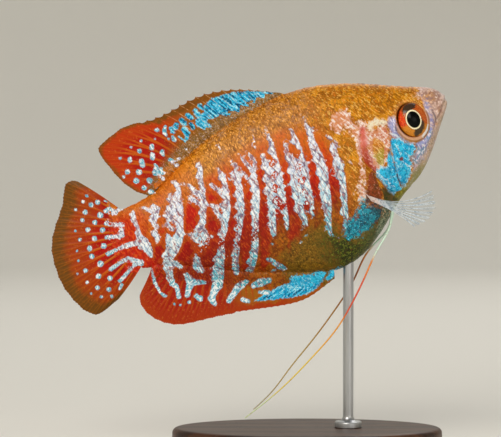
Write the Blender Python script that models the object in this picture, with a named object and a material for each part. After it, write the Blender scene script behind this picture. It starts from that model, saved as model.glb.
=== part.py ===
"""Life-size still model of a male dwarf gourami, held head-up by one rod over a flat oval base.

The fish is drawn straight, in its own frame, and then tipped up as a whole.
In that frame a place is given by three lengths in millimetres:
u, behind the snout tip; h, above the level of the snout tip; y, towards the fish's left.
Blender's X runs forward, so X is -u.  Z is h.
"""

import math

import bmesh
import bpy
import numpy as np
from mathutils import Matrix

MM = 0.001

# Driving dimensions of the whole model, in millimetres and degrees
PITCH_DEG = 22.0
SNOUT_X = 23.5
SNOUT_Z = 59.6
SEAM = 0.3  # clear width of every joint between two pieces

# Outlines of the body from the side, and its half width, each as (u, value)
BACK_LINE = (
    (0.0, 0.4), (0.5, 1.95), (2.0, 3.25), (5.0, 4.6), (10.0, 7.0), (17.0, 10.0),
    (24.0, 11.3), (32.0, 10.7), (40.0, 9.1), (47.0, 6.5), (53.0, 4.0), (60.0, 3.7),
)
BELLY_LINE = (
    (0.0, 0.4), (0.5, -1.2), (2.0, -3.05), (5.0, -6.6), (9.0, -10.2), (13.0, -12.4),
    (18.0, -16.2), (23.0, -19.1), (28.0, -19.7), (36.0, -17.0), (44.0, -13.6),
    (51.0, -9.8), (60.0, -6.7),
)
WIDTH_LINE = (
    (0.0, 0.0), (0.5, 1.15), (2.0, 1.95), (5.0, 2.85), (10.0, 3.9), (16.0, 4.7),
    (24.0, 5.1), (32.0, 4.75), (40.0, 3.95), (48.0, 2.9), (54.0, 2.0), (60.0, 0.7),
)
WIDEST_LEVEL = -0.08  # from -1 at the belly to 1 at the back
SECTION_POWER = 2.2
SECTION_ROOT = 0.52

# Where the body is parted, as (h, u)
GILL_LINE = ((-15.0, 14.2), (-11.0, 15.4), (-7.0, 16.6), (-3.0, 17.1), (1.5, 16.6), (11.0, 14.4))
STEM_LINE = ((-12.0, 49.0), (-2.0, 50.2), (8.0, 49.0))
TAIL_ROOT_LINE = ((-8.0, 57.5), (-1.5, 59.2), (5.0, 57.5))
RING_SIDES = 32
SNOUT_START = 0.04

# Eye: centre, half sizes along the body, across it and up, and how far it faces forward
EYE_U = 6.5
EYE_H = -0.9
EYE_Y = 2.6
EYE_RADII = (2.6, 1.5, 3.0)
EYE_FORWARD_DEG = 16.0
ORBIT_RIM = 0.42
ORBIT_REACH = 0.42  # from the eye's own radii out to the middle of the rim

# Mouth, lower jaw and nostrils, as (u, h)
MOUTH_CORNER = (2.8, -2.3)
MOUTH_FRONT = (0.0, 0.4)
JAW_LINE = ((-1.5, 1.8), MOUTH_FRONT, MOUTH_CORNER, (4.7, -4.5), (7.3, -7.6), (8.6, -12.5))
LIP_RADIUS = 0.36
LIP_SET = 0.5  # from the mouth line to the middle of each lip
NOSTRILS = ((2.1, 2.2, 0.26), (3.6, 2.8, 0.34))  # u, h, radius

# Gill cover, as (u, h) round its edge
GILL_COVER = (
    (10.7, 1.0), (13.4, 1.5), (15.6, -0.6), (16.3, -4.2), (15.5, -8.0), (13.9, -10.9),
    (11.2, -10.4), (9.7, -7.0), (10.2, -3.2),
)
COVER_DEPTH = 1.0
COVER_LIFT = 0.4  # how far the rear edge stands proud of the cheek

# Fins: base span along the back, belly or tail root, and the outer edge as (u, h)
DORSAL_BASE = (25.0, 50.9)
DORSAL_EDGE = (
    (26.2, 12.1), (29.5, 13.9), (34.0, 15.7), (40.0, 16.5), (45.0, 16.0), (49.0, 16.2),
    (52.6, 16.5), (55.8, 15.9), (57.4, 14.6), (57.1, 11.5), (56.0, 8.2), (54.2, 5.7),
    (52.3, 4.7),
)
ANAL_BASE = (28.4, 57.0)
ANAL_EDGE = (
    (28.8, -20.9), (31.2, -21.6), (34.5, -22.3), (38.5, -21.9), (43.0, -20.8), (48.0, -19.6),
    (53.0, -18.8), (56.5, -18.0), (59.2, -16.1), (60.7, -13.5), (60.6, -11.4), (59.2, -9.9),
    (58.0, -8.7),
)
TAIL_EDGE = (
    (64.6, 11.3), (66.6, 9.7), (68.8, 6.7), (70.8, 3.7), (72.0, 0.2), (72.4, -3.3),
    (72.0, -6.6), (70.8, -9.3), (68.8, -11.2), (65.6, -11.1),
)
TAIL_ROOT_SPAN = (3.3, -6.3)
MEMBRANE = 0.27  # half thickness
RAY = 0.46  # half thickness on a ray, at its root
RAY_TIP = 0.3
SPINE_TIP = 0.28  # how far a spine passes the membrane that it carries
SOFT_TIP = 0.12  # the same for a soft ray
DORSAL_SWAY = 0.55  # how far the free edges wave to the side
ANAL_SWAY = 0.5
TAIL_SWAY = 0.45
TAIL_TURN = 1.3  # how far the tail's free edge is swept to the left

# Pectoral fins: ends of the root, of the bend and of the outer edge, as (u, y, h)
PECTORAL_RAYS = 10
PECTORAL_FLESH = 0.75  # half thickness of the fleshy root
PECTORAL_ROOT = ((18.7, -9.3), (18.2, -10.9))
RIGHT_BEND = ((14.6, 7.2, -14.0), (14.6, 7.0, -14.4))
RIGHT_EDGE = ((8.5, 9.6, -12.7), (8.7, 9.9, -15.0), (10.6, 9.2, -16.9), (13.4, 8.2, -17.3))
LEFT_BEND = ((21.5, 6.6, -11.0), (20.8, 6.6, -13.0))
LEFT_EDGE = ((29.2, 7.2, -9.8), (30.2, 7.4, -12.6), (28.6, 7.4, -15.3), (25.2, 7.2, -16.2))

# Pelvic feelers: where each comes out of the breast, and the line that it follows, as (u, y, h)
FEELER_SOCKET = (15.0, 0.9, -13.4)
RIGHT_FEELER = (
    (17.0, 1.3, -16.4), (20.0, 1.8, -18.8), (23.4, 2.5, -21.9), (27.5, 3.0, -25.6),
    (31.6, 3.1, -28.7), (37.3, 2.8, -31.7), (43.5, 2.0, -34.5), (51.8, 0.9, -37.2),
)
LEFT_FEELER = (
    (17.2, 1.3, -16.6), (19.7, 1.8, -17.9), (22.4, 2.4, -19.4), (25.5, 2.9, -22.3), (30.3, 3.3, -25.9),
    (36.5, 3.2, -29.7), (41.6, 2.6, -32.5), (46.1, 1.9, -35.1), (50.0, 1.2, -36.6),
)
FEELER_RADIUS = 0.3
FEELER_TIP = 0.12

# Stand
BASE_HALF_LENGTH = 23.0
BASE_HALF_WIDTH = 14.0
BASE_HEIGHT = 4.0
BASE_BEVEL = 0.9
ROD_X = 7.0
ROD_RADIUS = 0.9
ROD_FOOT_RADIUS = 2.3
ROD_FOOT_HEIGHT = 0.8
ROD_REACH = 36.0  # to a place well inside the belly


# Curves

def cubic(points):
    """Natural cubic spline through (x, value) points: its second slopes solve one linear system."""
    points = np.array(points, float)
    x, value = points[np.argsort(points[:, 0])].T
    gap = np.diff(x)
    system = np.eye(len(x))
    right = np.zeros(len(x))
    for i in range(1, len(x) - 1):
        system[i, i - 1 : i + 2] = gap[i - 1], 2 * (gap[i - 1] + gap[i]), gap[i]
        right[i] = 6 * ((value[i + 1] - value[i]) / gap[i] - (value[i] - value[i - 1]) / gap[i - 1])
    bend = np.linalg.solve(system, right)

    def at(where):
        where = np.asarray(where, float)
        i = np.clip(np.searchsorted(x, where) - 1, 0, len(gap) - 1)
        a, b, g = x[i + 1] - where, where - x[i], gap[i]
        return (
            (bend[i] * a**3 + bend[i + 1] * b**3) / (6 * g)
            + (value[i] / g - bend[i] * g / 6) * a
            + (value[i + 1] / g - bend[i + 1] * g / 6) * b
        )

    return at


def body_line(points):
    """Spline in the square root of u, which rounds the snout as an ellipse does."""
    curve = cubic([(math.sqrt(u), value) for u, value in points])
    return lambda u: curve(np.sqrt(np.maximum(u, 0.0)))


def path(points, closed=False):
    """Smooth curve through points, of the share of its length from 0 to 1."""
    points = np.array(points, float)
    if closed:
        points = np.vstack([points[-3:], points, points[:3]])
    run = np.concatenate([[0], np.cumsum(np.linalg.norm(np.diff(points, axis=0), axis=1))])
    parts = [cubic(np.stack([run, axis], 1)) for axis in points.T]
    start, end = (run[3], run[-3]) if closed else (0.0, run[-1])
    return lambda share: np.stack([p(start + np.asarray(share) * (end - start)) for p in parts], -1)


back = body_line(BACK_LINE)
belly = body_line(BELLY_LINE)
widest = body_line(WIDTH_LINE)


def half_width(u, level):
    """Half width of the body at u, at a level from -1 at the belly to 1 at the back."""
    above = (level - WIDEST_LEVEL) / (1 - WIDEST_LEVEL)
    below = (WIDEST_LEVEL - level) / (1 + WIDEST_LEVEL)
    share = np.clip(np.where(level > WIDEST_LEVEL, above, below), 0, 1)
    return widest(u) * (1 - share**SECTION_POWER) ** SECTION_ROOT


def until_body(points, way):
    """Moves points along a way that ends inside the body, until they are a seam below its surface."""
    near, far = np.zeros(len(points)), np.ones(len(points))
    for _ in range(30):
        middle = (near + far) / 2
        x, y, h = (points + way * middle[:, None]).T
        inside = np.abs(y) < surface_y(-x, h + SEAM)
        near, far = np.where(inside, near, middle), np.where(inside, middle, far)
    return points + way * near[:, None]


def level_of(u, h):
    return (2 * h - back(u) - belly(u)) / (back(u) - belly(u))


def surface_y(u, h):
    """Half width of the body at the place (u, h) of its side view."""
    return half_width(u, level_of(u, h))


# Meshes

def make_object(name, points, faces, material, parent):
    """Object from points in millimetres.  The faces are turned outwards, by the sign of their volume."""
    points = np.asarray(points, float) * MM
    faces = np.asarray(faces, int)
    corners = points[faces]
    if np.einsum("ij,ij->i", corners[:, 0], np.cross(corners[:, 1], corners[:, 2])).sum() < 0:
        faces = faces[:, ::-1]
    mesh = bpy.data.meshes.new(name)
    mesh.from_pydata(points.tolist(), [], faces.tolist())
    mesh.shade_smooth()
    mesh.set_sharp_from_angle(angle=math.radians(40))
    obj = bpy.data.objects.new(name, mesh)
    bpy.context.scene.collection.objects.link(obj)
    if material:
        mesh.materials.append(material)
    obj.parent = parent
    return obj


def grid_faces(rows, columns, around=False):
    """Triangles of a grid of points, all split along the same diagonal."""
    last = columns if around else columns - 1
    i, j = np.meshgrid(np.arange(rows - 1), np.arange(last), indexing="ij")
    right = (j + 1) % columns
    a, b = i * columns + j, i * columns + right
    c, d = (i + 1) * columns + right, (i + 1) * columns + j
    return np.concatenate([np.stack([a, b, c], -1), np.stack([a, c, d], -1)]).reshape(-1, 3)


def strip(one, two):
    """Triangles between two rows of point numbers."""
    one, two = np.asarray(one), np.asarray(two)
    first = np.stack([one[:-1], one[1:], two[1:]], -1)
    return np.concatenate([first, np.stack([one[:-1], two[1:], two[:-1]], -1)])


def sheet(middle, half):
    """Closed sheet round a grid of middle points, as thick as half says on each side, along y."""
    rows, columns = half.shape
    offset = np.zeros_like(middle)
    offset[..., 1] = half
    points = np.concatenate([(middle - offset).reshape(-1, 3), (middle + offset).reshape(-1, 3)])
    number = np.arange(rows * columns).reshape(rows, columns)
    rim = np.concatenate([number[0], number[1:, -1], number[-1, -2::-1], number[-2::-1, 0]])
    side = grid_faces(rows, columns)
    return points, np.concatenate([side, side[:, ::-1] + rows * columns,
                                   strip(rim, rim + rows * columns)[:, ::-1]])


def tube(line, radii, sides, closed=False, never_along=(0.0, 1.0, 0.0)):
    """Round tube along a line of points, with flat ends unless it is closed."""
    line = np.asarray(line, float)
    ahead = np.roll(line, -1, 0) - np.roll(line, 1, 0)
    if not closed:
        ahead[0], ahead[-1] = line[1] - line[0], line[-1] - line[-2]
    ahead /= np.linalg.norm(ahead, axis=1)[:, None]
    across = np.cross(ahead, never_along)
    across /= np.linalg.norm(across, axis=1)[:, None]
    third = np.cross(ahead, across)
    turn = np.linspace(0, 2 * math.pi, sides, endpoint=False)
    radii = np.broadcast_to(radii, len(line))[:, None, None]
    ring = across[:, None] * np.cos(turn)[:, None] + third[:, None] * np.sin(turn)[:, None]
    points = (line[:, None] + ring * radii).reshape(-1, 3)
    if closed:
        number = np.arange(len(points)).reshape(len(line), sides)
        wrapped = np.vstack([number, number[:1]])
        return points, wrapped.reshape(-1)[grid_faces(len(line) + 1, sides, around=True)]
    ends = [[0, k + 1, k] for k in range(1, sides - 1)]
    last = (len(line) - 1) * sides
    ends += [[last, last + k, last + k + 1] for k in range(1, sides - 1)]
    return points, np.concatenate([grid_faces(len(line), sides, around=True), ends])


def ball(centre, radii, turn_deg, around=18, rows=9):
    """Ellipsoid, its poles along its own y axis, turned about the vertical."""
    tip = np.linspace(0, math.pi, rows + 1)[1:-1]
    turn = np.linspace(0, 2 * math.pi, around, endpoint=False)
    x = np.outer(np.sin(tip), np.cos(turn))
    z = np.outer(np.sin(tip), np.sin(turn))
    y = np.repeat(np.cos(tip)[:, None], around, 1)
    points = np.stack([x, y, z], -1).reshape(-1, 3)
    points = np.vstack([points, [0, 1, 0], [0, -1, 0]]) * radii
    c, s = math.cos(math.radians(turn_deg)), math.sin(math.radians(turn_deg))
    points = points @ np.array([[c, s, 0], [-s, c, 0], [0, 0, 1]]) + centre
    ring = np.arange(around)
    ahead = (ring + 1) % around
    top, low = len(points) - 2, len(points) - 1
    first = np.stack([np.full(around, top), ahead, ring], -1)
    start = (rows - 2) * around
    final = np.stack([np.full(around, low), start + ring, start + ahead], -1)
    return points, np.concatenate([grid_faces(rows - 1, around, around=True), first, final])


def prism(outline, reach):
    """Closed prism across the body, from the (u, h) corners of its side view."""
    count = len(outline)
    points = [(-u, y, h) for y in (-reach, reach) for u, h in outline]
    mesh = bpy.data.meshes.new("prism")
    sides = [(k, (k + 1) % count, (k + 1) % count + count, k + count) for k in range(count)]
    mesh.from_pydata(points, [], [tuple(range(count))[::-1], tuple(range(count, 2 * count)), *sides])
    mesh.calc_loop_triangles()
    faces = np.array([t.vertices[:] for t in mesh.loop_triangles])
    bpy.data.meshes.remove(mesh)
    return np.array(points), faces


# Joining and cutting

def helper(name, shape, parent):
    """Cutter or addition: it shapes another object and is then removed."""
    obj = make_object(name, *shape, None, parent)
    obj.hide_render = True
    obj.display_type = "WIRE"
    return obj


def shaped(obj, operation, helpers, solver="MANIFOLD"):
    """Applies one Boolean with a collection of helpers, removes them, and keeps the largest body."""
    group = bpy.data.collections.new(obj.name + operation)
    for piece in helpers:
        group.objects.link(piece)
    modifier = obj.modifiers.new(operation, "BOOLEAN")
    modifier.operation = operation
    modifier.operand_type = "COLLECTION"
    modifier.collection = group
    modifier.solver = solver
    bpy.context.view_layer.update()
    graph = bpy.context.evaluated_depsgraph_get()
    made = bpy.data.meshes.new_from_object(obj.evaluated_get(graph))
    obj.modifiers.clear()
    obj.data = made
    for piece in helpers:
        bpy.data.objects.remove(piece)
    bpy.data.collections.remove(group)
    keep_largest(made)
    return obj


def keep_largest(mesh):
    """Keeps the closed surface that has the most faces, and splits it into triangles."""
    work = bmesh.new()
    work.from_mesh(mesh)
    bmesh.ops.remove_doubles(work, verts=work.verts, dist=0.0005 * MM)
    left, best = set(work.faces), []
    while left:
        island, edge = [], [left.pop()]
        while edge:
            face = edge.pop()
            island.append(face)
            near = {f for e in face.edges for f in e.link_faces} & left
            left -= near
            edge += near
        best = max(best, island, key=len)
    stay = set(best)
    bmesh.ops.delete(work, geom=[f for f in work.faces if f not in stay], context="FACES")
    bmesh.ops.triangulate(work, faces=work.faces)
    work.to_mesh(mesh)
    work.free()


# Body

def side_points(u, level, side):
    """Points on the body's surface at u and level: side is -1 on the right and 1 on the left."""
    u = np.asarray(u, float)
    h = (back(u) + belly(u)) / 2 + level * (back(u) - belly(u)) / 2
    return np.stack([-u, side * half_width(u, level), h], -1)


def parting(line, shift, level):
    """The u at each level where a parting line crosses the body, moved by shift along it."""
    curve = cubic(line)
    u = np.full(len(level), float(curve(0.0)))
    for _ in range(40):
        u = curve((back(u) + belly(u)) / 2 + level * (back(u) - belly(u)) / 2) + shift
    return u


def body_length(start, end, count, crowd=1.0):
    """Closed length of the body between two rows of u.  Crowd above 1 sets its rings closer at the start."""
    half = RING_SIDES // 2
    turn = np.arange(RING_SIDES) * math.pi / half
    level = -np.cos(turn)
    side = np.where(turn <= math.pi, -1.0, 1.0)
    index = np.minimum(np.arange(RING_SIDES), RING_SIDES - np.arange(RING_SIDES))
    rings = []
    for share in np.linspace(0, 1, count) ** crowd:
        u = (start + (end - start) * share)[index]
        rings.append(side_points(u, level, side))
    faces = [grid_faces(count, RING_SIDES, around=True)]
    near, far = np.arange(half + 1), (RING_SIDES - np.arange(half + 1)) % RING_SIDES
    for first, turned in ((0, -1), ((count - 1) * RING_SIDES, 1)):
        cap = strip(first + near, first + far)
        whole = (cap[:, 0] != cap[:, 1]) & (cap[:, 1] != cap[:, 2]) & (cap[:, 0] != cap[:, 2])
        faces.append(cap[whole][:, ::turned])
    return np.concatenate(rings), np.concatenate(faces)


def half_levels():
    return -np.cos(np.arange(RING_SIDES // 2 + 1) * 2 * math.pi / RING_SIDES)


def on_side(outline, side, lift):
    """Closed path of (u, h) on the flank, lifted off the surface by lift."""
    u, h = outline.T
    return np.stack([-u, side * (surface_y(u, h) + lift), h], -1)


def cover_shape(side, grow, inner, outer):
    """Plate that follows the cheek: its edge grown by grow, from inner to outer beyond the surface."""
    around = 24
    inner_rings, outer_rings = (1.0, 0.5), (1.0, 0.8, 0.55, 0.28)
    edge = path(GILL_COVER, closed=True)(np.arange(around) / around)
    centre = edge.mean(0)
    out = (edge - centre) / np.linalg.norm(edge - centre, axis=1)[:, None]
    edge = edge + out * grow
    rear = np.clip((edge[:, 0] - centre[0]) / np.ptp(edge[:, 0]) * 2, 0, 1)
    shell = []
    for top, shares in ((inner, inner_rings[::-1]), (outer, outer_rings)):
        for share in shares:
            u, h = (centre + (edge - centre) * share).T
            proud = top + (rear * share**2 * COVER_LIFT if top > 0 else 0)
            shell.append(np.stack([-u, side * (surface_y(u, h) + proud), h], -1))
    points = np.concatenate(shell)
    middle = [[-centre[0], side * (surface_y(*centre) + top), centre[1]] for top in (inner, outer)]
    points = np.vstack([points, middle])
    ring = np.arange(around)
    ahead = (ring + 1) % around
    low, high = len(points) - 2, len(points) - 1
    final = (len(shell) - 1) * around
    caps = np.concatenate([
        np.stack([np.full(around, low), ahead, ring], -1),
        np.stack([np.full(around, high), final + ring, final + ahead], -1),
    ])
    return points, np.concatenate([grid_faces(len(shell), around, around=True), caps])


def orbit_line(count=20):
    turn = np.arange(count) * 2 * math.pi / count
    u = EYE_U + (EYE_RADII[0] + ORBIT_REACH) * np.cos(turn)
    h = EYE_H + (EYE_RADII[2] + ORBIT_REACH) * np.sin(turn)
    return np.stack([u, h], -1)


def eye_shape(side, grow):
    radii = np.array(EYE_RADII) + grow
    return ball((-EYE_U, side * EYE_Y, EYE_H), radii, -side * EYE_FORWARD_DEG)


def lip_shape(offset):
    """Lip as a tube round the front of the snout, from one mouth corner to the other."""
    share = np.array([1.0, 0.74, 0.48, 0.26, 0.1])
    front = np.array(MOUTH_FRONT) + (SNOUT_START, 0.85 * offset)
    corner = np.array(MOUTH_CORNER) + (0.7 * offset, 0.7 * offset)
    u, h = (front + share[:, None] * (corner - front)).T
    right = np.stack([-u, -surface_y(u, h), h], -1)
    middle = [[-SNOUT_START, 0.0, front[1]]]
    line = path(np.vstack([right, middle, right[::-1] * (1, -1, 1)]))
    along = np.linspace(0, 1, 21)
    radii = LIP_RADIUS * (0.6 + 0.4 * np.sin(math.pi * along))
    points = line(along) * (1, 0.9, 1) - (0.4 * LIP_RADIUS, 0, 0)
    return tube(points, radii, 7, never_along=(0.0, 0.0, 1.0))


def jaw_prism(shift):
    """Prism below the jaw line, the line moved by shift along its normal."""
    line = np.array(JAW_LINE, float)
    along = np.gradient(line, axis=0)
    along /= np.linalg.norm(along, axis=1)[:, None]
    line = line + np.stack([-along[:, 1], along[:, 0]], -1) * shift
    return prism([*map(tuple, line), (-1.5, -12.5)], 8.0)


def make_head(materials, fish):
    """Head with its orbit rims and upper lip, cut for the eyes, the gill covers and the lower jaw."""
    level = half_levels()
    start = np.full(len(level), SNOUT_START)
    block = body_length(start, parting(GILL_LINE, -SEAM / 2, level), 18, crowd=1.7)
    head = make_object("head", *block, materials["skin"], fish)
    jaw = make_object("jaw_lower", *block, materials["jaw"], fish)
    rims = [
        helper("rim", tube(on_side(orbit_line(), side, -0.12), ORBIT_RIM, 6, closed=True), fish)
        for side in (-1, 1)
    ]
    lip = helper("lip", lip_shape(LIP_SET), fish)
    shaped(head, "UNION", [*rims, lip])
    cuts = [helper("jaw_cut", jaw_prism(SEAM / 2), fish)]
    for side in (-1, 1):
        cuts.append(helper("socket", eye_shape(side, SEAM), fish))
        cuts.append(helper("recess", cover_shape(side, SEAM, -COVER_DEPTH - SEAM, 1.5), fish))
        for u, h, radius in NOSTRILS:
            y = side * surface_y(u, h)
            cuts.append(helper("nostril", ball((-u, y, h), (radius,) * 3, 0, 8, 4), fish))
    shaped(head, "DIFFERENCE", cuts)
    shaped(jaw, "UNION", [helper("lip", lip_shape(-LIP_SET), fish)])
    shaped(jaw, "INTERSECT", [helper("jaw_keep", jaw_prism(-SEAM / 2), fish)])
    for side, word in ((-1, "right"), (1, "left")):
        make_object("eye_" + word, *eye_shape(side, 0.0), materials["eye"], fish)
        cover = cover_shape(side, 0.0, -COVER_DEPTH, 0.08)
        make_object("gill_cover_" + word, *cover, materials["cover"], fish)


def make_trunk(materials, fish):
    level = half_levels()
    front = parting(GILL_LINE, SEAM / 2, level)
    middle = parting(STEM_LINE, 0.0, level)
    rear = parting(TAIL_ROOT_LINE, 0.0, level)
    make_object("trunk", *body_length(front, middle - SEAM / 2, 19), materials["skin"], fish)
    make_object("tail_stem", *body_length(middle + SEAM / 2, rear, 6), materials["skin"], fish)


# Fins

def ray_shares(groups):
    """Shares along the base and the edge for every ray, and halfway to the next one for the membrane."""
    base = np.concatenate([np.linspace(*g["base"], g["rays"]) for g in groups])
    edge = np.concatenate([np.linspace(*g["edge"], g["rays"]) for g in groups])
    bony = np.concatenate([np.full(g["rays"], g["tip"]) for g in groups])
    count = 2 * len(base) - 1
    steps, rays = np.arange(count), np.arange(len(base)) * 2
    return [np.interp(steps, rays, row) for row in (base, edge, bony)]


def fin_shape(root_at, edge_at, groups, rows, bow, sway, root_half=RAY):
    """Fin as one closed sheet with a raised ridge on every ray.

    root_at and edge_at give (u, h) at a share of the base and of the edge.  Each ray is a
    curve from one to the other, bowed by bow times its length.  sway gives y at (ray, row).
    """
    base, edge, tip = ray_shares(groups)
    ray = np.arange(len(base)) % 2 == 0
    root, end = root_at(base), edge_at(edge)
    along = end - root
    length = np.linalg.norm(along, axis=1)[:, None]
    end = end + along / length * np.where(ray, 0.5, -0.5)[:, None] * tip[:, None]
    side = np.stack([-along[:, 1], along[:, 0]], -1)
    share = np.linspace(0, 1, rows)[:, None, None]
    bend = 4 * share * (1 - share) * np.broadcast_to(bow, len(base))[None, :, None]
    flat = root + (end - root) * share + side * bend
    across = sway(np.linspace(0, 1, len(base))[None, :], share[..., 0])
    middle = np.stack([-flat[..., 0], across + np.zeros(flat.shape[:2]), flat[..., 1]], -1)
    ridge = root_half + (RAY_TIP - root_half) * share[..., 0]
    web = MEMBRANE + (root_half - RAY) * (1 - share[..., 0]) ** 3
    half = np.where(ray[None, :], ridge, web)
    return sheet(middle, half)


def make_dorsal_fin(materials, fish):
    def root_at(share):
        u = DORSAL_BASE[0] + share * (DORSAL_BASE[1] - DORSAL_BASE[0])
        return np.stack([u, back(u) + SEAM], -1)

    groups = (
        {"rays": 16, "base": (0.0, 0.70), "edge": (0.0, 0.51), "tip": SPINE_TIP * 2},
        {"rays": 9, "base": (0.735, 1.0), "edge": (0.56, 1.0), "tip": SOFT_TIP},
    )
    shape = fin_shape(
        root_at, path(DORSAL_EDGE), groups, 7, 0.05,
        lambda ray, row: DORSAL_SWAY * np.sin(5.5 * ray) * ray * row**1.6,
    )
    make_object("dorsal_fin", *shape, materials["fin"], fish)


def make_anal_fin(materials, fish):
    def root_at(share):
        u = ANAL_BASE[0] + share * (ANAL_BASE[1] - ANAL_BASE[0])
        return np.stack([u, belly(u) - SEAM], -1)

    groups = (
        {"rays": 17, "base": (0.0, 0.54), "edge": (0.0, 0.43), "tip": SPINE_TIP * 1.4},
        {"rays": 14, "base": (0.57, 1.0), "edge": (0.465, 1.0), "tip": SOFT_TIP},
    )
    shape = fin_shape(
        root_at, path(ANAL_EDGE), groups, 6, -0.04,
        lambda ray, row: ANAL_SWAY * np.sin(6.0 * ray + 1.0) * ray * row**1.6,
    )
    make_object("anal_fin", *shape, materials["fin"], fish)


def make_tail_fin(materials, fish):
    root_curve = cubic(TAIL_ROOT_LINE)

    def root_at(share):
        h = TAIL_ROOT_SPAN[0] + share * (TAIL_ROOT_SPAN[1] - TAIL_ROOT_SPAN[0])
        return np.stack([root_curve(h) + SEAM, h], -1)

    rays = 15
    groups = ({"rays": rays, "base": (0.0, 1.0), "edge": (0.0, 1.0), "tip": SOFT_TIP},)
    bow = -0.07 * np.linspace(-1, 1, 2 * rays - 1) ** 3
    shape = fin_shape(
        root_at, path(TAIL_EDGE), groups, 10, bow,
        lambda ray, row: TAIL_TURN * row**2 + TAIL_SWAY * np.sin(7.0 * ray) * row**1.5,
    )
    make_object("tail_fin", *shape, materials["fin"], fish)


def make_pectoral_fin(name, side, bend_ends, edge_points, materials, fish):
    """Fan of rays that leaves a fleshy root on the flank, bends once and spreads to the outer edge."""
    count = 2 * PECTORAL_RAYS - 1
    share = np.linspace(0, 1, count)
    u, h = (np.array(PECTORAL_ROOT[0]) + share[:, None] * np.subtract(*PECTORAL_ROOT[::-1])).T
    root = np.stack([u, surface_y(u, h) + SEAM + PECTORAL_FLESH, h], -1)
    bend = bend_ends[0] + share[:, None] * np.subtract(*bend_ends[::-1])
    edge = path(edge_points)(share)
    ray = np.arange(count) % 2 == 0
    edge = edge + (edge - bend) * np.where(ray, 0.03, -0.03)[:, None]
    row = np.linspace(0, 1, 9)[:, None, None]
    line = (1 - row) ** 2 * root + 2 * row * (1 - row) * bend + row**2 * edge
    middle = line * (-1, side, 1)
    row = row[..., 0]
    flesh = (PECTORAL_FLESH - RAY_TIP) * np.exp(-((row / 0.22) ** 2))
    half = np.where(ray[None, :], RAY_TIP + 0.06 * (1 - row), MEMBRANE - 0.02) + flesh
    make_object(name, *sheet(middle, half), materials["clear_fin"], fish)


def make_feeler(name, side, points, materials, fish):
    """Pelvic fin, one long thread that thins to its tip."""
    sides = 8
    share = np.linspace(0, 1, 30)
    line = path(points)(share) * (-1, side, 1)
    socket = np.array(FEELER_SOCKET) * (-1, side, 1)
    radii = FEELER_RADIUS + (FEELER_TIP - FEELER_RADIUS) * share**4
    lead = 2 * line[0] - line[1]
    skin, faces = tube(np.vstack([lead, line]), [FEELER_RADIUS, *radii], sides)
    skin[:sides] = until_body(skin[sides : 2 * sides], socket - line[0])
    make_object(name, skin, faces, materials["feeler"], fish)


# Stand

def make_base(materials):
    """Oval slab with a rounded upper edge."""
    count = 44
    turn = np.arange(count) * 2 * math.pi / count
    bevel = [(BASE_BEVEL * (1 - math.cos(a)), BASE_HEIGHT - BASE_BEVEL * (1 - math.sin(a)))
             for a in np.linspace(0, math.pi / 2, 4)]
    rings = [
        np.stack([(BASE_HALF_LENGTH - inset) * np.cos(turn),
                  (BASE_HALF_WIDTH - inset) * np.sin(turn), np.full(count, z)], -1)
        for inset, z in [(0.3, 0.0), (0.0, 0.3), *bevel]
    ]
    rows = len(rings)
    final = (rows - 1) * count
    ends = [[0, k + 1, k] for k in range(1, count - 1)]
    ends += [[final, final + k, final + k + 1] for k in range(1, count - 1)]
    faces = np.concatenate([grid_faces(rows, count, around=True), ends])
    make_object("stand_base", np.concatenate(rings), faces, materials["base"], None)


def make_rod(materials, fish):
    """Rod with a turned foot.  Its top is shaped to the belly and stays a seam below it."""
    to_world = np.array(fish.matrix_world)[:3, :3]
    snout = np.array((SNOUT_X, 0.0, SNOUT_Z))
    count = 20
    turn = np.arange(count) * 2 * math.pi / count
    foot = BASE_HEIGHT + SEAM
    profile = [
        (ROD_FOOT_RADIUS, foot), (ROD_FOOT_RADIUS, foot + 0.6 * ROD_FOOT_HEIGHT),
        (ROD_FOOT_RADIUS - 0.3, foot + ROD_FOOT_HEIGHT), (ROD_RADIUS + 0.35, foot + ROD_FOOT_HEIGHT),
        (ROD_RADIUS, foot + ROD_FOOT_HEIGHT + 0.5),
    ]

    def ring(radius, z):
        return np.stack([ROD_X + radius * np.cos(turn), radius * np.sin(turn), np.full(count, z)], -1)

    rings = [ring(radius, z) for radius, z in profile]
    start = (ring(ROD_RADIUS, foot) - snout) @ to_world
    top = until_body(start, np.array((0.0, 0.0, ROD_REACH)) @ to_world) @ to_world.T + snout
    rings.append(top)
    points = np.vstack([*rings, [ROD_X, 0, foot], top.mean(0)])
    low, high = len(points) - 2, len(points) - 1
    near = np.arange(count)
    ahead = (near + 1) % count
    final = (len(rings) - 1) * count
    caps = np.concatenate([
        np.stack([np.full(count, low), ahead, near], -1),
        np.stack([np.full(count, high), final + near, final + ahead], -1),
    ])
    faces = np.concatenate([grid_faces(len(rings), count, around=True), caps])
    make_object("stand_rod", points, faces, materials["rod"], None)


# Finish

def material(name, colour, roughness, metallic=0.0):
    made = bpy.data.materials.new(name)
    made.use_nodes = True
    shader = made.node_tree.nodes["Principled BSDF"]
    shader.inputs["Base Color"].default_value = (*colour, 1.0)
    shader.inputs["Roughness"].default_value = roughness
    shader.inputs["Metallic"].default_value = metallic
    made.diffuse_color = (*colour, 1.0)
    return made


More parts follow.
